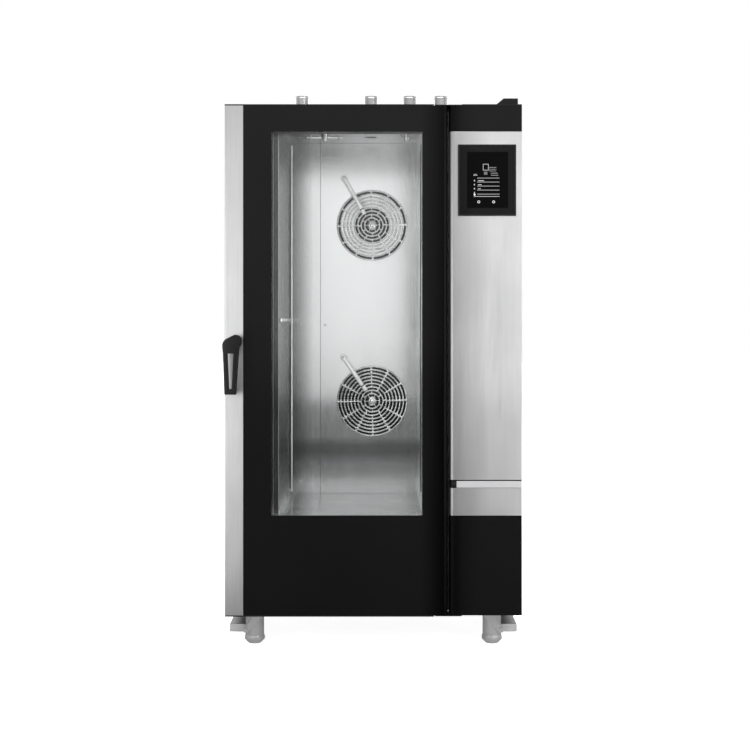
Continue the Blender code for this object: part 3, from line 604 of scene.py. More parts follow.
def rounded_path(points, bend, steps=6):
    """The same route with each corner eased into a curve."""
    path = [Vector(points[0])]
    for before, corner, after in zip(points, points[1:], points[2:]):
        before, corner, after = Vector(before), Vector(corner), Vector(after)
        start = corner + (before - corner).normalized() * bend
        end = corner + (after - corner).normalized() * bend
        for i in range(steps + 1):
            t = i / steps
            path.append(start * (1 - t) ** 2 + corner * 2 * t * (1 - t) + end * t**2)
    path.append(Vector(points[-1]))
    return path


def add_pipe(bm, path, radius, sides=24):
    """A capped round bar along a path."""
    loops = []
    for i, point in enumerate(path):
        ahead = path[min(i + 1, len(path) - 1)] - path[max(i - 1, 0)]
        turn = ahead.to_track_quat("Z", "X")
        loop = []
        for k in range(sides):
            angle = math.tau * k / sides
            offset = Vector((radius * math.cos(angle), radius * math.sin(angle), 0.0))
            loop.append(bm.verts.new(point + turn @ offset))
        loops.append(loop)
    skin_faces(bm, loops)
    bm.faces.new(loops[0])
    bm.faces.new(loops[-1])


def sheet_with_holes(name, loops, front, back, finish, body, slot, edge=0.0):
    """A plate in the XZ plane, filled between its outline and its holes, with eased edges."""
    curve = bpy.data.curves.new(name, "CURVE")
    curve.dimensions = "2D"
    curve.fill_mode = "BOTH"
    curve.extrude = (back - front) / 2 - edge
    curve.bevel_depth = edge
    curve.bevel_resolution = 3
    curve.offset = -edge
    for loop in loops:
        spline = curve.splines.new("POLY")
        spline.points.add(len(loop) - 1)
        for point, (x, z) in zip(spline.points, loop):
            point.co = (x, z, 0, 1)
        spline.use_cyclic_u = True
    holder = bpy.data.objects.new(name + "_curve", curve)
    SCENE.collection.objects.link(holder)
    bpy.context.view_layer.update()
    mesh = bpy.data.meshes.new_from_object(holder.evaluated_get(bpy.context.evaluated_depsgraph_get()))
    bpy.data.objects.remove(holder)
    lift = Matrix.Translation((0, (front + back) / 2, 0)) @ Matrix.Rotation(math.radians(90), 4, "X")
    mesh.transform(lift)
    bm = bmesh.new()
    bm.from_mesh(mesh)
    for face in bm.faces:
        face.material_index = 0
    return settle(name, bm, finish, body, slot, sharp=30)


def round_points(centre, radius, count, shift=0.0):
    """Points spaced evenly on a circle. A shift of a half puts the first one half a step on."""
    angles = [math.tau * (i + shift) / count for i in range(count)]
    return [(centre[0] + radius * math.cos(a), centre[1] + radius * math.sin(a)) for a in angles]


def box_loop(low, high, radius=0.0, steps=6):
    if not radius:
        return [(low[0], low[1]), (high[0], low[1]), (high[0], high[1]), (low[0], high[1])]
    corners = (
        (high[0] - radius, low[1] + radius, -90),
        (high[0] - radius, high[1] - radius, 0),
        (low[0] + radius, high[1] - radius, 90),
        (low[0] + radius, low[1] + radius, 180),
    )
    return [point for x, z, start in corners for point in arc((x, z), radius, start, start + 90, steps)]


def round_loop(centre, radius, steps=72):
    return arc(centre, radius, 0, -360, steps)[:-1]


# %% [markdown]
# ## Door glass
# One sheet covers the whole door: enamelled black as a frame, and clear in the middle. Its right edge
# rolls back round the hinge line. The mesh is a grid of the sheet's section, and the grid's middle
# panels take the clear glass, so frame and window stay one pane as on the real door.

# %% Door glass
ROLL = 0.014
HINGE = Vector((DOOR_HIGH.x - ROLL, FRONT + ROLL, 0.0))
THICK = 0.005


def door_glass():
    flat = [DOOR_LOW.x, WINDOW[0][0], WINDOW[1][0]]
    outer = [(x, FRONT) for x in flat] + arc(HINGE, ROLL, -90, 0, 14)
    inner = [(x, FRONT + THICK) for x in flat] + arc(HINGE, ROLL - THICK, -90, 0, 14)
    levels = (DOOR_LOW.z, WINDOW[0][1], WINDOW[1][1], DOOR_HIGH.z)
    bm = bmesh.new()
    skins = [[[bm.verts.new((x, y, z)) for x, y in section] for z in levels] for section in (outer, inner)]
    for skin in skins:
        for row in range(3):
            for column in range(len(outer) - 1):
                corners = (
                    skin[row][column],
                    skin[row][column + 1],
                    skin[row + 1][column + 1],
                    skin[row + 1][column],
                )
                face = bm.faces.new(corners)
                face.material_index = 1 if (row, column) == (1, 1) else 0
    front_skin, back_skin = skins
    last = len(outer) - 1
    edges = [((row, column), (row + 1, column)) for row in range(3) for column in (0, last)]
    edges += [((row, column), (row, column + 1)) for row in (0, 3) for column in range(last)]
    for (row, column), (next_row, next_column) in edges:
        bm.faces.new((front_skin[row][column], front_skin[next_row][next_column],
                      back_skin[next_row][next_column], back_skin[row][column]))
    return settle("door_glass_sheet", bm, (BLACK_GLASS, CLEAR_GLASS), "door", "door_glass")


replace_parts(door_glass(), "door_outer_glass")
print("door glass", DOOR_HIGH.x - DOOR_LOW.x, "wide")

# %% [markdown]
# ## Door trims
# A thin black strip closes the door along its top and bottom edges. Steel liners wrap three sides
# of the window, its foot and both uprights, between the outer glass and the inner pane, and catch the
# cavity light.

# %% Door trims
TRIM = 0.0045
SEAM = 0.0001
hinge_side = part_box("hinge_bracket_upper")[0].x - 0.003
trims = [
    ((STILE_LOW.x, FRONT, DOOR_HIGH.z + SEAM), (hinge_side, FRAME_HIGH.y, DOOR_HIGH.z + TRIM)),
    ((STILE_LOW.x, FRONT, DOOR_LOW.z - TRIM), (hinge_side, FRAME_HIGH.y, DOOR_LOW.z - SEAM)),
]
blocks("door_edge_strips", trims, BLACK_COAT, "door", "black_coated_steel", 0.0006)

liner_y = (FRONT + THICK + 0.0008, FRAME_HIGH.y - 0.0004)
left, bottom = WINDOW[0]
right, top = WINDOW[1]
skin = 0.0008
liners = [
    ((left, liner_y[0], bottom), (right, liner_y[1], bottom + skin)),
    ((left, liner_y[0], bottom + skin), (left + skin, liner_y[1], top)),
    ((right - skin, liner_y[0], bottom + skin), (right, liner_y[1], top)),
]
blocks("window_liner", liners, STEEL_CAVITY, "door", "brushed_steel", 0.0)
print("liner", len(liners), "sides")

# %% [markdown]
# ## Handle
# The lever is a moulded bar with a wide head and a tapered slot that lets it flex. It is drawn as an
# outline with a hole, and the curve's bevel rounds every edge. A boss carries it off the stile.

# %% Handle
LEVER_LOW, LEVER_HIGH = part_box("door_handle")
LEVER_THICK = 0.022
HEAD_RADIUS = 0.0215
pivot_x, pivot_z = -0.460, 1.045


def lever_outline():
    head = arc((pivot_x + 0.002, pivot_z + 0.004), HEAD_RADIUS, 5, 98, 12)
    shoulder = [(-0.4925, 1.0545), (-0.4988, 1.0450), (-0.5013, 1.0375), (-0.5010, 1.0260)]
    left_side = [(-0.4990, 1.0100), (-0.4962, 0.9300), (-0.4945, 0.8735), (-0.4938, 0.8718)]
    foot = [(-0.4920, 0.8712), (-0.4578, 0.8712), (-0.4560, 0.8718), (-0.4553, 0.8735)]
    right_side = [(-0.4500, 0.9600), (-0.4462, 1.0180), (-0.4450, 1.0280), (-0.4410, 1.0360)]
    return foot + right_side + head + shoulder + left_side


slot_loop = [(-0.4842, 1.0074), (-0.4646, 1.0074), (-0.4698, 0.8904), (-0.4792, 0.8904)]
lever = sheet_with_holes("door_lever", [lever_outline(), slot_loop], LEVER_LOW.y, LEVER_LOW.y + LEVER_THICK,
                         HANDLE_PLASTIC, "handle", "black_plastic", 0.0025)
BOSS_DRAWN = 0.041
boss_y = LEVER_LOW.y + 0.020
stretch = (LEVER_HIGH.y - boss_y) / BOSS_DRAWN
boss = [(0.0, 0.0), (0.015, 0.0), (0.015, 0.012), (0.0175, 0.020), (0.019, 0.030)]
boss += [(0.019, BOSS_DRAWN), (0.0, BOSS_DRAWN)]
boss = [(radius, height * stretch) for radius, height in boss]
turned("door_lever_boss", boss, (pivot_x, boss_y, pivot_z), "Y", 48,
       HANDLE_PLASTIC, "handle", "black_plastic")
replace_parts(lever, "door_handle")
print("lever", LEVER_HIGH.z - LEVER_LOW.z, "long")

# %% [markdown]
# ## Fan grilles
# Each grille is a round plate with rings of arc-shaped slots. A polar grid makes it: every second
# ring is cut away except at its spokes, and the spokes step round from ring to ring. A solidify
# modifier gives the plate its thickness.

# %% Fan grilles
FANS = {"upper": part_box("fan_grille_upper"), "lower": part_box("fan_grille_lower")}
RING_PITCH, SLOT_WIDTH, RINGS, CELLS = 0.0131, 0.0066, 9, 120
EYE, FIRST_SLOT = 0.0075, 0.019
SCREW_CIRCLE, SCREWS = 0.1315, 6


def grille(name, node, low, high):
    centre = (low + high) / 2
    rim = (high.x - low.x) / 2
    radii = [EYE]
    for k in range(RINGS):
        slot = FIRST_SLOT + k * RING_PITCH
        radii += [slot, slot + SLOT_WIDTH]
    radii.append(rim)
    bm = bmesh.new()
    grid = []
    for radius in radii:
        points = round_points((centre.x, centre.z), radius, CELLS)
        grid.append([bm.verts.new((x, low.y, z)) for x, z in points])
    for k in range(len(radii) - 1):
        slot_ring = k % 2 == 1
        inner = k < 6
        step = 20 if inner else 10
        offset = (k // 2) * 10 if inner else 0
        spoke = 0 if k > 6 else 1
        for i in range(CELLS):
            if slot_ring and (i + offset) % step > spoke:
                continue
            after = (i + 1) % CELLS
            bm.faces.new((grid[k][i], grid[k][after], grid[k + 1][after], grid[k + 1][i]))
    bm.faces.new(grid[0])
    piece = settle(name, bm, STEEL_GRILLE, "cabinet", "polished_steel")
    wall = piece.modifiers.new("Plate", "SOLIDIFY")
    wall.thickness = high.y - low.y - 0.0002
    wall.offset = -1
    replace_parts(piece, node)


for which, (low, high) in FANS.items():
    grille(f"slotted_grille_{which}", f"fan_grille_{which}", low, high)
    middle = (low + high) / 2
    bm = bmesh.new()
    cap = [(0.0, 0.0), (0.005, 0.0006), (0.0082, 0.0022), (0.0088, 0.0042), (0.0, 0.0042)]
    add_turned(bm, cap, (middle.x, low.y - 0.0046, middle.z), "Y", 24)
    screw = [(0.0, 0.0), (0.0022, 0.0004), (0.003, 0.0024), (0.0, 0.0024)]
    for x, z in round_points((middle.x, middle.z), SCREW_CIRCLE, SCREWS, 0.5):
        add_turned(bm, screw, (x, low.y - 0.0026, z), "Y", 12)
    settle(f"grille_screws_{which}", bm, POLISHED, "cabinet", "polished_steel")
print("grilles", len(FANS), FANS["upper"])

# %% [markdown]
# ## Inlet rings
# Behind each grille a ring guides the air into the wheel: nearly flat and bright behind the upper one,
# which closes its outer slots, and a dark shallow cone behind the lower one, whose near-black finish
# is painted shade.

# %% Inlet rings
# The lower ring's near-black finish is painted shade.
INLETS = {"upper": (0.1225, 0.0715, 0.0004, STEEL_TUBE), "lower": (0.1325, 0.1120, 0.009, SHADED)}
WALL = 0.0012
for which, (mouth, throat, dish, finish) in INLETS.items():
    low, high = FANS[which]
    middle = (low + high) / 2
    cone = [(mouth, 0.0), (throat, dish), (throat, dish + WALL), (mouth + 0.0006, WALL)]
    centre = (middle.x, BAFFLE_LOW.y + 0.0002, middle.z)
    turned(f"fan_inlet_ring_{which}", cone, centre, "Y", 72, finish, "cabinet", "polished_steel", closed=True)
print("inlet rings", INLETS)

# %% [markdown]
# ## Baffle
# The sheet in front of the fans comes in two parts, so that it lifts out through the door: a narrow
# one on the left and a wide one with both air intakes. The joint shows as a fine upright line.

# %% Baffle
INTAKE = 0.134
JOINT = 0.0008
joint_x = -0.2045
fan_centres = [((low + high) / 2) for low, high in FANS.values()]
narrow = box_loop((BAFFLE_LOW.x, BAFFLE_LOW.z), (joint_x - JOINT, BAFFLE_HIGH.z), 0.004)
wide = box_loop((joint_x + JOINT, BAFFLE_LOW.z), (BAFFLE_HIGH.x, BAFFLE_HIGH.z), 0.004)
holes = [round_loop((centre.x, centre.z), INTAKE) for centre in fan_centres]
front_y, back_y = BAFFLE_LOW.y, BAFFLE_HIGH.y
looks = (STEEL_BAFFLE, "cabinet", "brushed_steel")
wide_sheet = sheet_with_holes("baffle_wide", [wide] + holes, front_y, back_y, *looks)
sheet_with_holes("baffle_narrow", [narrow], front_y, back_y, *looks)
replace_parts(wide_sheet, "fan_baffle")
bm = bmesh.new()
screw = [(0.0, 0.0), (0.003, 0.0006), (0.0045, 0.0026), (0.0, 0.0026)]
for x in (BAFFLE_LOW.x + 0.03, joint_x + 0.018, BAFFLE_HIGH.x - 0.03):
    for z in (BAFFLE_LOW.z + 0.05, 1.10, BAFFLE_HIGH.z - 0.05):
        add_turned(bm, screw, (x, front_y - 0.0027, z), "Y", 16)
settle("baffle_screws", bm, POLISHED, "cabinet", "polished_steel")
bm = bmesh.new()
edge_x = BAFFLE_LOW.x - 0.0050
bead = [Vector((edge_x, front_y + 0.0036, z)) for z in (BAFFLE_LOW.z, BAFFLE_HIGH.z)]
add_pipe(bm, bead, 0.0035)
settle("baffle_edge_bead", bm, STEEL_TUBE, "cabinet", "polished_steel")
seal_low = (BAFFLE_LOW.x, front_y + 0.0002, BAFFLE_HIGH.z + GAP)
seal_high = (BAFFLE_HIGH.x, back_y, BAFFLE_HIGH.z + 0.0036)
blocks("baffle_top_seal", [(seal_low, seal_high)], RUBBER, "cabinet", "silicone_rubber", 0.0)
print("baffle edge at", edge_x, "baffle", BAFFLE_LOW, BAFFLE_HIGH, "roof", LINER_HIGH.z)

# %% [markdown]
# ## Water injectors
# A tube leaves the baffle through a nut, bends, and slants across the grille to its centre. The path
# is eased at the bend. A dark cap and a dark ring mark its open end.


# %% Water injectors
def injector(which):
    node = f"water_injector_{which}"
    low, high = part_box(node)
    radius = 0.008
    front = low.y + radius
    start = Vector((low.x + radius + 0.0007, front, high.z - radius - 0.0004))
    end = Vector((high.x - radius * 0.86, front, low.z + radius * 0.5))
    way = (end - start).normalized()
    path = rounded_path([(start.x, high.y, start.z), start, end], 0.012, 8)
    bm = bmesh.new()
    add_pipe(bm, path, radius, 28)
    piece = settle(f"injector_tube_{which}", bm, STEEL_TUBE, "cabinet", "polished_steel", 50)
    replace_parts(piece, node)
    nut = [(0.0, 0.0), (0.013, 0.0), (0.0145, 0.002), (0.0145, 0.005), (0.0, 0.005)]
    turned(f"injector_nut_{which}", nut, (start.x, BAFFLE_LOW.y - 0.0055, start.z), "Y", 6,
           POLISHED, "cabinet", "polished_steel", bevel=0.0005)
    bm = bmesh.new()
    add_pipe(bm, [end - way * 0.0015, end + way * 0.0012], radius * 1.01, 28)
    add_pipe(bm, [end - way * 0.026, end - way * 0.022], radius * 1.03, 28)
    settle(f"injector_tip_{which}", bm, RUBBER, "cabinet", "polished_steel", 50, 0.0003)


for which in FANS:
    injector(which)
print("injectors", len(FANS))

# %% [markdown]
# ## Wash arms
# The arms hang under the ceiling on sockets. Each end has a nozzle, and a domed nut holds the arm.
# Sockets belong to the cabinet, while nuts and nozzles turn with the arm.

# %% Wash arms
ARM_ANGLES = {"left": 0.0, "right": 1.0821}
NOZZLE_REACH = 0.052
for side, angle in ARM_ANGLES.items():
    low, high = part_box(f"wash_arm_{side}")
    centre = (low + high) / 2
    along = Vector((math.cos(angle), math.sin(angle), 0.0))
    arm_z = low.z + 0.009
    bm = bmesh.new()
    add_turned(bm, [(0.0, 0.0), (0.005, 0.0004), (0.0088, 0.0026), (0.0098, 0.0055), (0.0, 0.0055)],
               (centre.x, centre.y, low.z - 0.0056), "Z", 32)
    nozzle = [(0.0, -0.0095), (0.0032, -0.0095), (0.0052, -0.0072), (0.0052, 0.0066), (0.0, 0.0070)]
    for sign in (-1, 1):
        tip = Vector((centre.x, centre.y, arm_z)) + along * sign * NOZZLE_REACH
        add_turned(bm, nozzle, tip, "Z", 20)
    settle(f"wash_nozzles_{side}", bm, POLISHED, f"wash_{side}", "polished_steel", bevel=0.0)
    socket = [(0.0136, 0.0), (0.021, 0.0), (0.0235, 0.002), (0.0235, 0.0045), (0.0136, 0.0045)]
    turned(f"wash_socket_{side}", socket, (centre.x, centre.y, LINER_HIGH.z - SHEET - 0.0048), "Z", 40,
           POLISHED, "cabinet", "polished_steel", closed=True)
print("wash arms", len(ARM_ANGLES))

# %% [markdown]
# ## Display
# The display is a dark pane with a soft bezel. A menu glows in it: a small tray symbol, five lines,
# four of them with markers, and two touch rings below. Shapes only, with no words. The marks stand a
# fifth of a millimetre proud of the screen so that they never flicker against it.

# %% Display
PANE_LOW, PANE_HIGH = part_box("touch_display")
BEZEL, MARK_LIFT, LINE_PITCH = 0.006, 0.0005, 0.0135
pane_y = PANE_LOW.y
screen_low = (PANE_LOW.x + 0.030, pane_y - GAP, PANE_LOW.z + 0.0266)
screen_high = (PANE_HIGH.x - 0.0267, pane_y - SEAM, PANE_HIGH.z - 0.025)


def mark(left, bottom, width, height):
    """A bar on the screen, placed from the pane's lower left corner."""
    x, z = PANE_LOW.x + left, PANE_LOW.z + bottom
    return ((x, pane_y - MARK_LIFT, z), (x + width, pane_y - SEAM, z + height))


outside = box_loop((PANE_LOW.x, PANE_LOW.z), (PANE_HIGH.x, PANE_HIGH.z), 0.004)
inside = box_loop((PANE_LOW.x + BEZEL, PANE_LOW.z + BEZEL), (PANE_HIGH.x - BEZEL, PANE_HIGH.z - BEZEL), 0.003)
sheet_with_holes("display_bezel", [outside, inside[::-1]], pane_y - 0.0012, pane_y - SEAM,
                 BLACK_PLASTIC, "cabinet", "black_plastic", 0.0004)
blocks("display_screen", [(screen_low, screen_high)], SCREEN, "cabinet", "black_glass", 0.0)
lines = [mark(0.064, 0.1265 - i * LINE_PITCH, 0.075, 0.0012) for i in range(5)]
for i, width in enumerate((0.020, 0.012, 0.009, 0.0)):
    z = 0.118 - i * LINE_PITCH
    lines.append(mark(0.0535, z - 0.002, 0.003, 0.005))
    if width:
        lines.append(mark(0.067, z - 0.001, width, 0.0022))
blocks("menu_lines", lines, MARK, "cabinet", "black_glass", 0.0)
symbols = [mark(0.085, z, 0.016, 0.0014) for z in (0.153, 0.173)]
symbols += [mark(x, 0.153, 0.0014, 0.0214) for x in (0.0836, 0.101)]
symbols += [mark(0.087, 0.1395 + i * 0.0035, 0.0115, 0.001) for i in range(3)]
symbols += [mark(0.051, 0.1355, 0.014, 0.0013), mark(0.053, 0.139, 0.010, 0.0014)]
symbols += [mark(0.110, 0.143, 0.023, 0.001), mark(0.110, 0.136, 0.025, 0.001)]
symbols += [mark(0.0525, 0.0645, 0.0865, 0.0015)]
symbols += [mark(0.104, 0.1505 + i * 0.006, 0.024, 0.0008) for i in range(3)]
blocks("menu_symbols", symbols, MARK, "cabinet", "black_glass", 0.0)
dot = [(0.0, 0.0), (0.0032, 0.0), (0.0032, 0.0004), (0.0, 0.0004)]
ring = [(0.0028, 0.0), (0.0044, 0.0), (0.0044, 0.0004), (0.0028, 0.0004)]
mark_y = pane_y - MARK_LIFT
bm = bmesh.new()
add_turned(bm, dot, (PANE_LOW.x + 0.0555, mark_y, PANE_LOW.z + 0.0715), "Y", 20)
for left in (0.0695, 0.1195):
    add_turned(bm, ring, (PANE_LOW.x + left, mark_y, PANE_LOW.z + 0.047), "Y", 24, closed=True)
settle("menu_buttons", bm, MARK_BRIGHT, "cabinet", "black_glass")
print("screen", screen_low, screen_high)

# %% [markdown]
# ## Column details
# The steel plate has a bright cut edge along its top. A cap closes the column, level with the strip on
# top of the door, and a small turned cap covers the probe socket.

# %% Column details
plate_y = PLATE_LOW.y
edge_low = (PLATE_LOW.x + 0.0145, plate_y - GAP, PLATE_HIGH.z - 0.0022)
edge_high = (PLATE_HIGH.x, plate_y + SEAM, PLATE_HIGH.z)
blocks("plate_top_edge", [(edge_low, edge_high)], POLISHED, "cabinet", "brushed_steel", 0.0)
cap_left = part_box("hinge_bracket_upper")[1].x + 0.001
cap_low = (cap_left, FRONT, DOOR_HIGH.z + 0.0002)
cap_high = (0.500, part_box("front_frame")[0].y - GAP, DOOR_HIGH.z + TRIM)
blocks("column_cap", [(cap_low, cap_high)], BLACK_COAT, "cabinet", "black_coated_steel", 0.0006)
low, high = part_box("probe_socket")
centre = (low + high) / 2
cover = [(0.0, 0.0), (0.005, 0.0), (0.0075, 0.0012), (0.0080, 0.003), (0.0, 0.003)]
turned("probe_socket_cap", cover, (centre.x, low.y - 0.0029, centre.z), "Y", 32,
       BLACK_PLASTIC, "cabinet", "black_plastic")
print("column cap from", cap_left)

# %% [markdown]
# ## Roof fittings
# Four tubes pass the roof. Each has a raised bead near its mouth, made by turning a small round
# section, and a flange with four screws that seals it to the sheet.

# %% Roof fittings
ROOF = ROOF_HIGH.z
for number in range(1, 5):
    low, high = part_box(f"vent_tube_{number}")
    centre = (low + high) / 2
    radius = (high.x - low.x) / 2
    bead = round_points((radius + 0.0004, 0.0), 0.0012, 10)
    turned(f"vent_bead_{number}", bead, (centre.x, centre.y, high.z - 0.0062), "Z", 48,
           POLISHED, "cabinet", "polished_steel", closed=True, sharp=60)
    bm = bmesh.new()
    lip = ((0.0004, 0.0), (0.017, 0.0), (0.017, 0.0016), (0.004, 0.0022), (0.0022, 0.006), (0.0004, 0.006))
    flange = [(radius + outward, height) for outward, height in lip]
    add_turned(bm, flange, (centre.x, centre.y, ROOF + 0.0002), "Z", 48, closed=True)
    screw = [(0.0, 0.0), (0.0026, 0.0), (0.0022, 0.0016), (0.0, 0.0020)]
    for x, y in round_points((centre.x, centre.y), radius + 0.011, 4, 0.5):
        add_turned(bm, screw, (x, y, ROOF + 0.002), "Z", 12)
    settle(f"vent_flange_{number}", bm, DULL, "cabinet", "polished_steel")
print("vents 4")

# %% [markdown]
# ## Legs
# A flat strap braces each front leg: it starts on the rail and rises inwards over the leg to the base.
# It is a plain bar with two bends, so a prism through its outline is enough, with eased edges. A short
# hanger holds the right rail.

# %% Legs
for side, sign in (("left", -1), ("right", 1)):
    leg_low, leg_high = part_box(f"leg_front_{side}")
    front = (leg_low.y + leg_high.y) / 2 - 0.032
    outline = [(0.4475, 0.0410), (0.4335, 0.0410), (0.3830, 0.0960), (0.3830, 0.1232), (0.4000, 0.1232),
               (0.4335, 0.0690), (0.4475, 0.0690)]
    bm = bmesh.new()
    add_prism(bm, [(sign * x, z) for x, z in outline], front - 0.0034, front - 0.0006)
    for x, z in ((0.4405, 0.055), (0.392, 0.112)):
        add_turned(bm, [(0.0, 0.0), (0.005, 0.0), (0.0062, 0.0014), (0.0062, 0.0038), (0.0, 0.0038)],
                   (sign * x, front - 0.0072, z), "Y", 6)
    settle(f"leg_strap_{side}", bm, STEEL_LEG, "cabinet", "brushed_steel", bevel=0.0005)
hanger = [((0.430, -0.3300, 0.1175), (0.472, -0.3270, 0.1245))]
blocks("rail_hanger_right", hanger, STEEL_RAIL, "cabinet", "brushed_steel", 0.0006)
print("straps 2")

# %% [markdown]
# ## Back panel
# The back is a galvanised sheet with two fields of pressed louvres a side and button-head screws. A
# louvre is a half-round hood: an arched section swept along the slot and closed at its ends, so it
# throws a real shadow.


# %% Back panel
def louvre(bm, centre, length, axis, out, height=0.007, depth=0.005):
    """A pressed hood: an arched section swept along the slot, closed at its ends."""
    centre, out = Vector(centre), Vector(out)
    along = Vector((0, 1, 0)) if axis == "Y" else Vector((1, 0, 0))
    section = [(0.0, height), (0.35, height * 0.95), (0.75, height * 0.55), (1.0, 0.0), (1.0, -height * 0.35),
               (0.8, -height * 0.35), (0.0, -height * 0.2)]
    ramp_in = ((-0.5, 0.0), (-0.46, 0.6), (-0.42, 0.95), (-0.36, 1.0))
    stations = ramp_in + tuple((-place, rise) for place, rise in reversed(ramp_in))
    loops = []
    for place, rise in stations:
        loop = []
        for reach, z in section:
            lifted = out * (depth * reach * rise + 0.00005)
            point = centre + along * place * length + lifted + Vector((0, 0, z))
            loop.append(bm.verts.new(point))
        loops.append(loop)
    skin_faces(bm, loops)
    bm.faces.new(loops[0])
    bm.faces.new(loops[-1])


def screws(bm, places, axis, sign, radius=0.0045):
    profile = [(0.0, 0.0026), (radius * 0.6, 0.0022), (radius, 0.0008), (radius, 0.0), (0.0, 0.0)]
    for place in places:
        add_turned(bm, [(r, sign * h) for r, h in profile], place, axis, 14)


BACK = BACK_HIGH.y
LOUVRE_PITCH = 0.024
bm = bmesh.new()
for column in (-0.30, 0.30):
    for row in range(9):
        louvre(bm, (column, BACK, 0.62 + row * LOUVRE_PITCH), 0.20, "X", (0, 1, 0))
        louvre(bm, (column, BACK, 1.52 + row * LOUVRE_PITCH), 0.20, "X", (0, 1, 0))
settle("back_louvres", bm, GALVANISED, "cabinet", "galvanised_sheet", 50)
bm = bmesh.new()
places = [(x, BACK, z) for x in (-0.482, -0.24, 0.0, 0.24, 0.482) for z in (0.145, 1.825)]
places += [(x, BACK, z) for x in (-0.482, 0.482) for z in (0.42, 0.70, 0.98, 1.26, 1.54)]
screws(bm, places, "Y", 1)
settle("back_screws", bm, DULL, "cabinet", "galvanised_sheet")

# %% [markdown]
# ## Motor covers
# Behind each fan a plain cover comes off to reach its motor. It is a rounded square pushed out by a few
# millimetres, held by a screw near each corner.

# %% Motor covers
COVER, COVER_SCREW = 0.13, 0.115
covers = bmesh.new()
cover_screws = bmesh.new()
for centre in fan_centres:
    x, z = centre.x, centre.z
    cover_loop = box_loop((x - COVER, z - COVER), (x + COVER, z + COVER), 0.02)
    add_prism(covers, cover_loop, BACK + 0.0002, BACK + 0.0045)
    shifts = [(dx, dz) for dx in (-COVER_SCREW, COVER_SCREW) for dz in (-COVER_SCREW, COVER_SCREW)]
    corners = [(x + dx, BACK + 0.0046, z + dz) for dx, dz in shifts]
    screws(cover_screws, corners, "Y", 1)
settle("motor_service_covers", covers, GALVANISED, "cabinet", "galvanised_sheet", bevel=0.0012, segments=3)
settle("cover_screws", cover_screws, DULL, "cabinet", "galvanised_sheet")
print("motor covers", len(fan_centres))

# %% [markdown]
# ## Side sheets
# Each side is one sheet with a shallow field pressed into it, which keeps a tall sheet from drumming.
# The rim stays level with the casing, and the louvres and screws stand in the field, so nothing sticks
# out past the sides. The sheet is five nested rectangles joined by faces.


# %% Side sheets
PRESSED = 0.0014


def pressed_sheet(name, node, sign):
    low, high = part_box(node)
    outside, inside = (high.x, low.x) if sign > 0 else (low.x, high.x)
    sunk = outside - sign * PRESSED
    levels = ((0.0, outside), (0.030, outside), (0.036, sunk), (0.036, inside), (0.0, inside))
    bm = bmesh.new()
    loops = []
    for margin, x in levels:
        corners = ((low.y + margin, low.z + margin), (high.y - margin, low.z + margin),
                   (high.y - margin, high.z - margin), (low.y + margin, high.z - margin))
        loops.append([bm.verts.new((x, y, z)) for y, z in corners])
    skin_faces(bm, loops[:3])
    skin_faces(bm, loops[3:] + loops[:1])
    bm.faces.new(loops[2])
    bm.faces.new(loops[3])
    piece = settle(name, bm, STEEL_UPRIGHT, "cabinet", "brushed_steel", bevel=0.0)
    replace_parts(piece, node)
    return outside - sign * 0.0013


for side, sign in (("left", -1), ("right", 1)):
    node = f"side_panel_{side}"
    low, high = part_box(node)
    field = pressed_sheet(f"pressed_side_{side}", node, sign)
    bm = bmesh.new()
    profile = [(0.0, sign * 0.0009), (0.0036, sign * 0.0006), (0.0046, 0.0), (0.0, 0.0)]
    for z in (0.30, 0.85, 1.40, 1.80):
        for y in (low.y + 0.048, high.y - 0.048):
            add_turned(bm, profile, (field, y, z), "X", 16)
    settle(f"side_screws_{side}", bm, DULL, "cabinet", "brushed_steel")
bm = bmesh.new()
for row in range(12):
    louvre(bm, (field, -0.17, 0.30 + row * LOUVRE_PITCH), 0.16, "Y", (1, 0, 0), depth=0.0011)
settle("side_louvres_right", bm, STEEL_UPRIGHT, "cabinet", "brushed_steel", 50)
print("side field at", field)

# %% [markdown]
# ## Floor
# A pale floor that glows a little suits a catalogue view, as it leaves only a faint shadow. Steel and
# glass don't see it, because its white would fill their reflections.

# %% Floor
bm = bmesh.new()
bmesh.ops.create_grid(bm, x_segments=8, y_segments=8, size=30.0)
mesh = bpy.data.meshes.new("studio_floor")
bm.to_mesh(mesh)
bm.free()
floor = bpy.data.objects.new("studio_floor", mesh)
SCENE.collection.objects.link(floor)
WHITE = (1.0, 1.0, 1.0)
finish, tree, shader = new_finish("floor_paint", (0.92, 0.92, 0.92), 0.0, 0.9)
feed(shader, "Emission Color", WHITE)
feed(shader, "Emission Strength", 0.86)
mesh.materials.append(finish)
floor.visible_glossy = False
floor.visible_transmission = False

# %% [markdown]
# ## Room light
# Steel shows what stands round it, so the room is part of the finish. It is bright above the horizon
# and dim below it, and dimmer at the sides than in front or behind. A ray that comes straight from the
# camera, or only through glass, sees plain white instead. The world counts such a ray's depth as one.

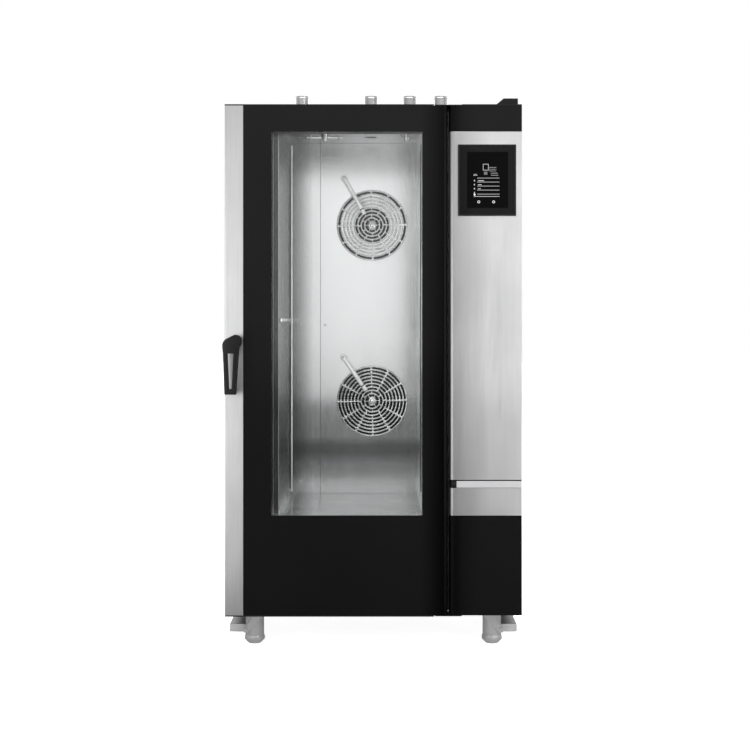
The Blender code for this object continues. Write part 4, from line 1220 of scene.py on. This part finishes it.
# %% Room light
world = bpy.data.worlds.new("studio_room")
SCENE.world = world
world.use_nodes = True
tree = world.node_tree
tree.nodes.clear()
outward = add_node(tree, "TexCoord", {}).outputs["Generated"]
level = span(tree, split(tree, outward, "Z"), -0.35, 0.45)
height = ramp(tree, level, (0.0, 0.08), (0.36, 0.12), (0.42, 0.60), (0.75, 0.80))
behind = span(tree, split(tree, outward, "Y"), -1.0, 1.0)
depth = ramp(tree, behind, (0.0, 1.0), (0.30, 0.62), (0.5, 0.66), (1.0, 1.0))
path = add_node(tree, "LightPath", {})
bounced = arithmetic(tree, "SUBTRACT", path.outputs["Ray Depth"], path.outputs["Transmission Depth"])
straight = arithmetic(tree, "LESS_THAN", bounced, 1.5)
given = add_node(tree, "Background", {"Color": multiplied(tree, height, depth)})
seen = add_node(tree, "Background", {"Color": WHITE})
ways = {"Fac": straight, 1: given.outputs["Background"], 2: seen.outputs["Background"]}
choice = add_node(tree, "MixShader", ways)
add_node(tree, "OutputWorld", {"Surface": choice.outputs["Shader"]})
print("room", len(tree.nodes), "nodes")

# %% [markdown]
# ## Lamps
# Large soft lamps stand in front, above, behind and at the sides, as round a studio table. Two more
# light the cavity from just behind the glass: one is mirrored in the baffle, and the other is hidden
# from reflections and only fills.


# %% Lamps
def lamp(name, place, aim, size, power):
    data = bpy.data.lights.new(name, "AREA")
    data.shape = "RECTANGLE"
    data.size, data.size_y = size
    data.energy = power
    obj = bpy.data.objects.new(name, data)
    obj.location = place
    obj.rotation_euler = (Vector(aim) - Vector(place)).to_track_quat("-Z", "Y").to_euler()
    SCENE.collection.objects.link(obj)
    return obj


lamp("softbox_left", (-1.8, -3.2, 0.72), (-0.4, -0.4, 0.75), (1.2, 2.2), 25)
lamp("softbox_right", (1.9, -2.6, 1.15), (0.3, -0.3, 1.0), (0.9, 2.2), 30)
lamp("overhead", (0.0, -0.6, 4.2), (0, 0, 0), (3.0, 3.0), 120)
lamp("cavity_lamp_front", (-0.083, -0.345, 1.287), (-0.083, 0.30, 1.287), (0.434, 1.026), 0.68)
fill = lamp("cavity_fill", (-0.083, -0.340, 1.20), (-0.083, 0.30, 1.20), (0.40, 1.20), 3.0)
fill.visible_glossy = False
lamp("softbox_rear", (0.0, 3.8, 1.9), (0, 0.4, 1.0), (2.6, 2.0), 60)
lamp("softbox_far_right", (3.6, 0.9, 1.2), (0.5, 0.0, 1.0), (1.6, 2.4), 14)
lamp("softbox_far_left", (-3.6, 0.9, 1.2), (-0.5, 0.0, 1.0), (1.6, 2.4), 14)
print("lamps", len(bpy.data.lights))

# %% [markdown]
# ## Camera
# A long lens stands square to the front at a little over half the oven's height. It is shifted down
# instead of tilted, as a catalogue's camera is, so upright edges stay upright.

# %% Camera
camera_data = bpy.data.cameras.new("catalogue_camera")
camera_data.lens = 62.8
camera_data.sensor_width = 36.0
camera_data.shift_x = 0.0013
camera_data.shift_y = -0.0733
camera = bpy.data.objects.new("catalogue_camera", camera_data)
camera.location = (0.0025, -4.818, 1.119)
camera.rotation_euler = (math.radians(90), 0.0, 0.0)
SCENE.collection.objects.link(camera)
SCENE.camera = camera
SCENE.view_settings.view_transform = "Standard"
print("camera", tuple(camera.location))
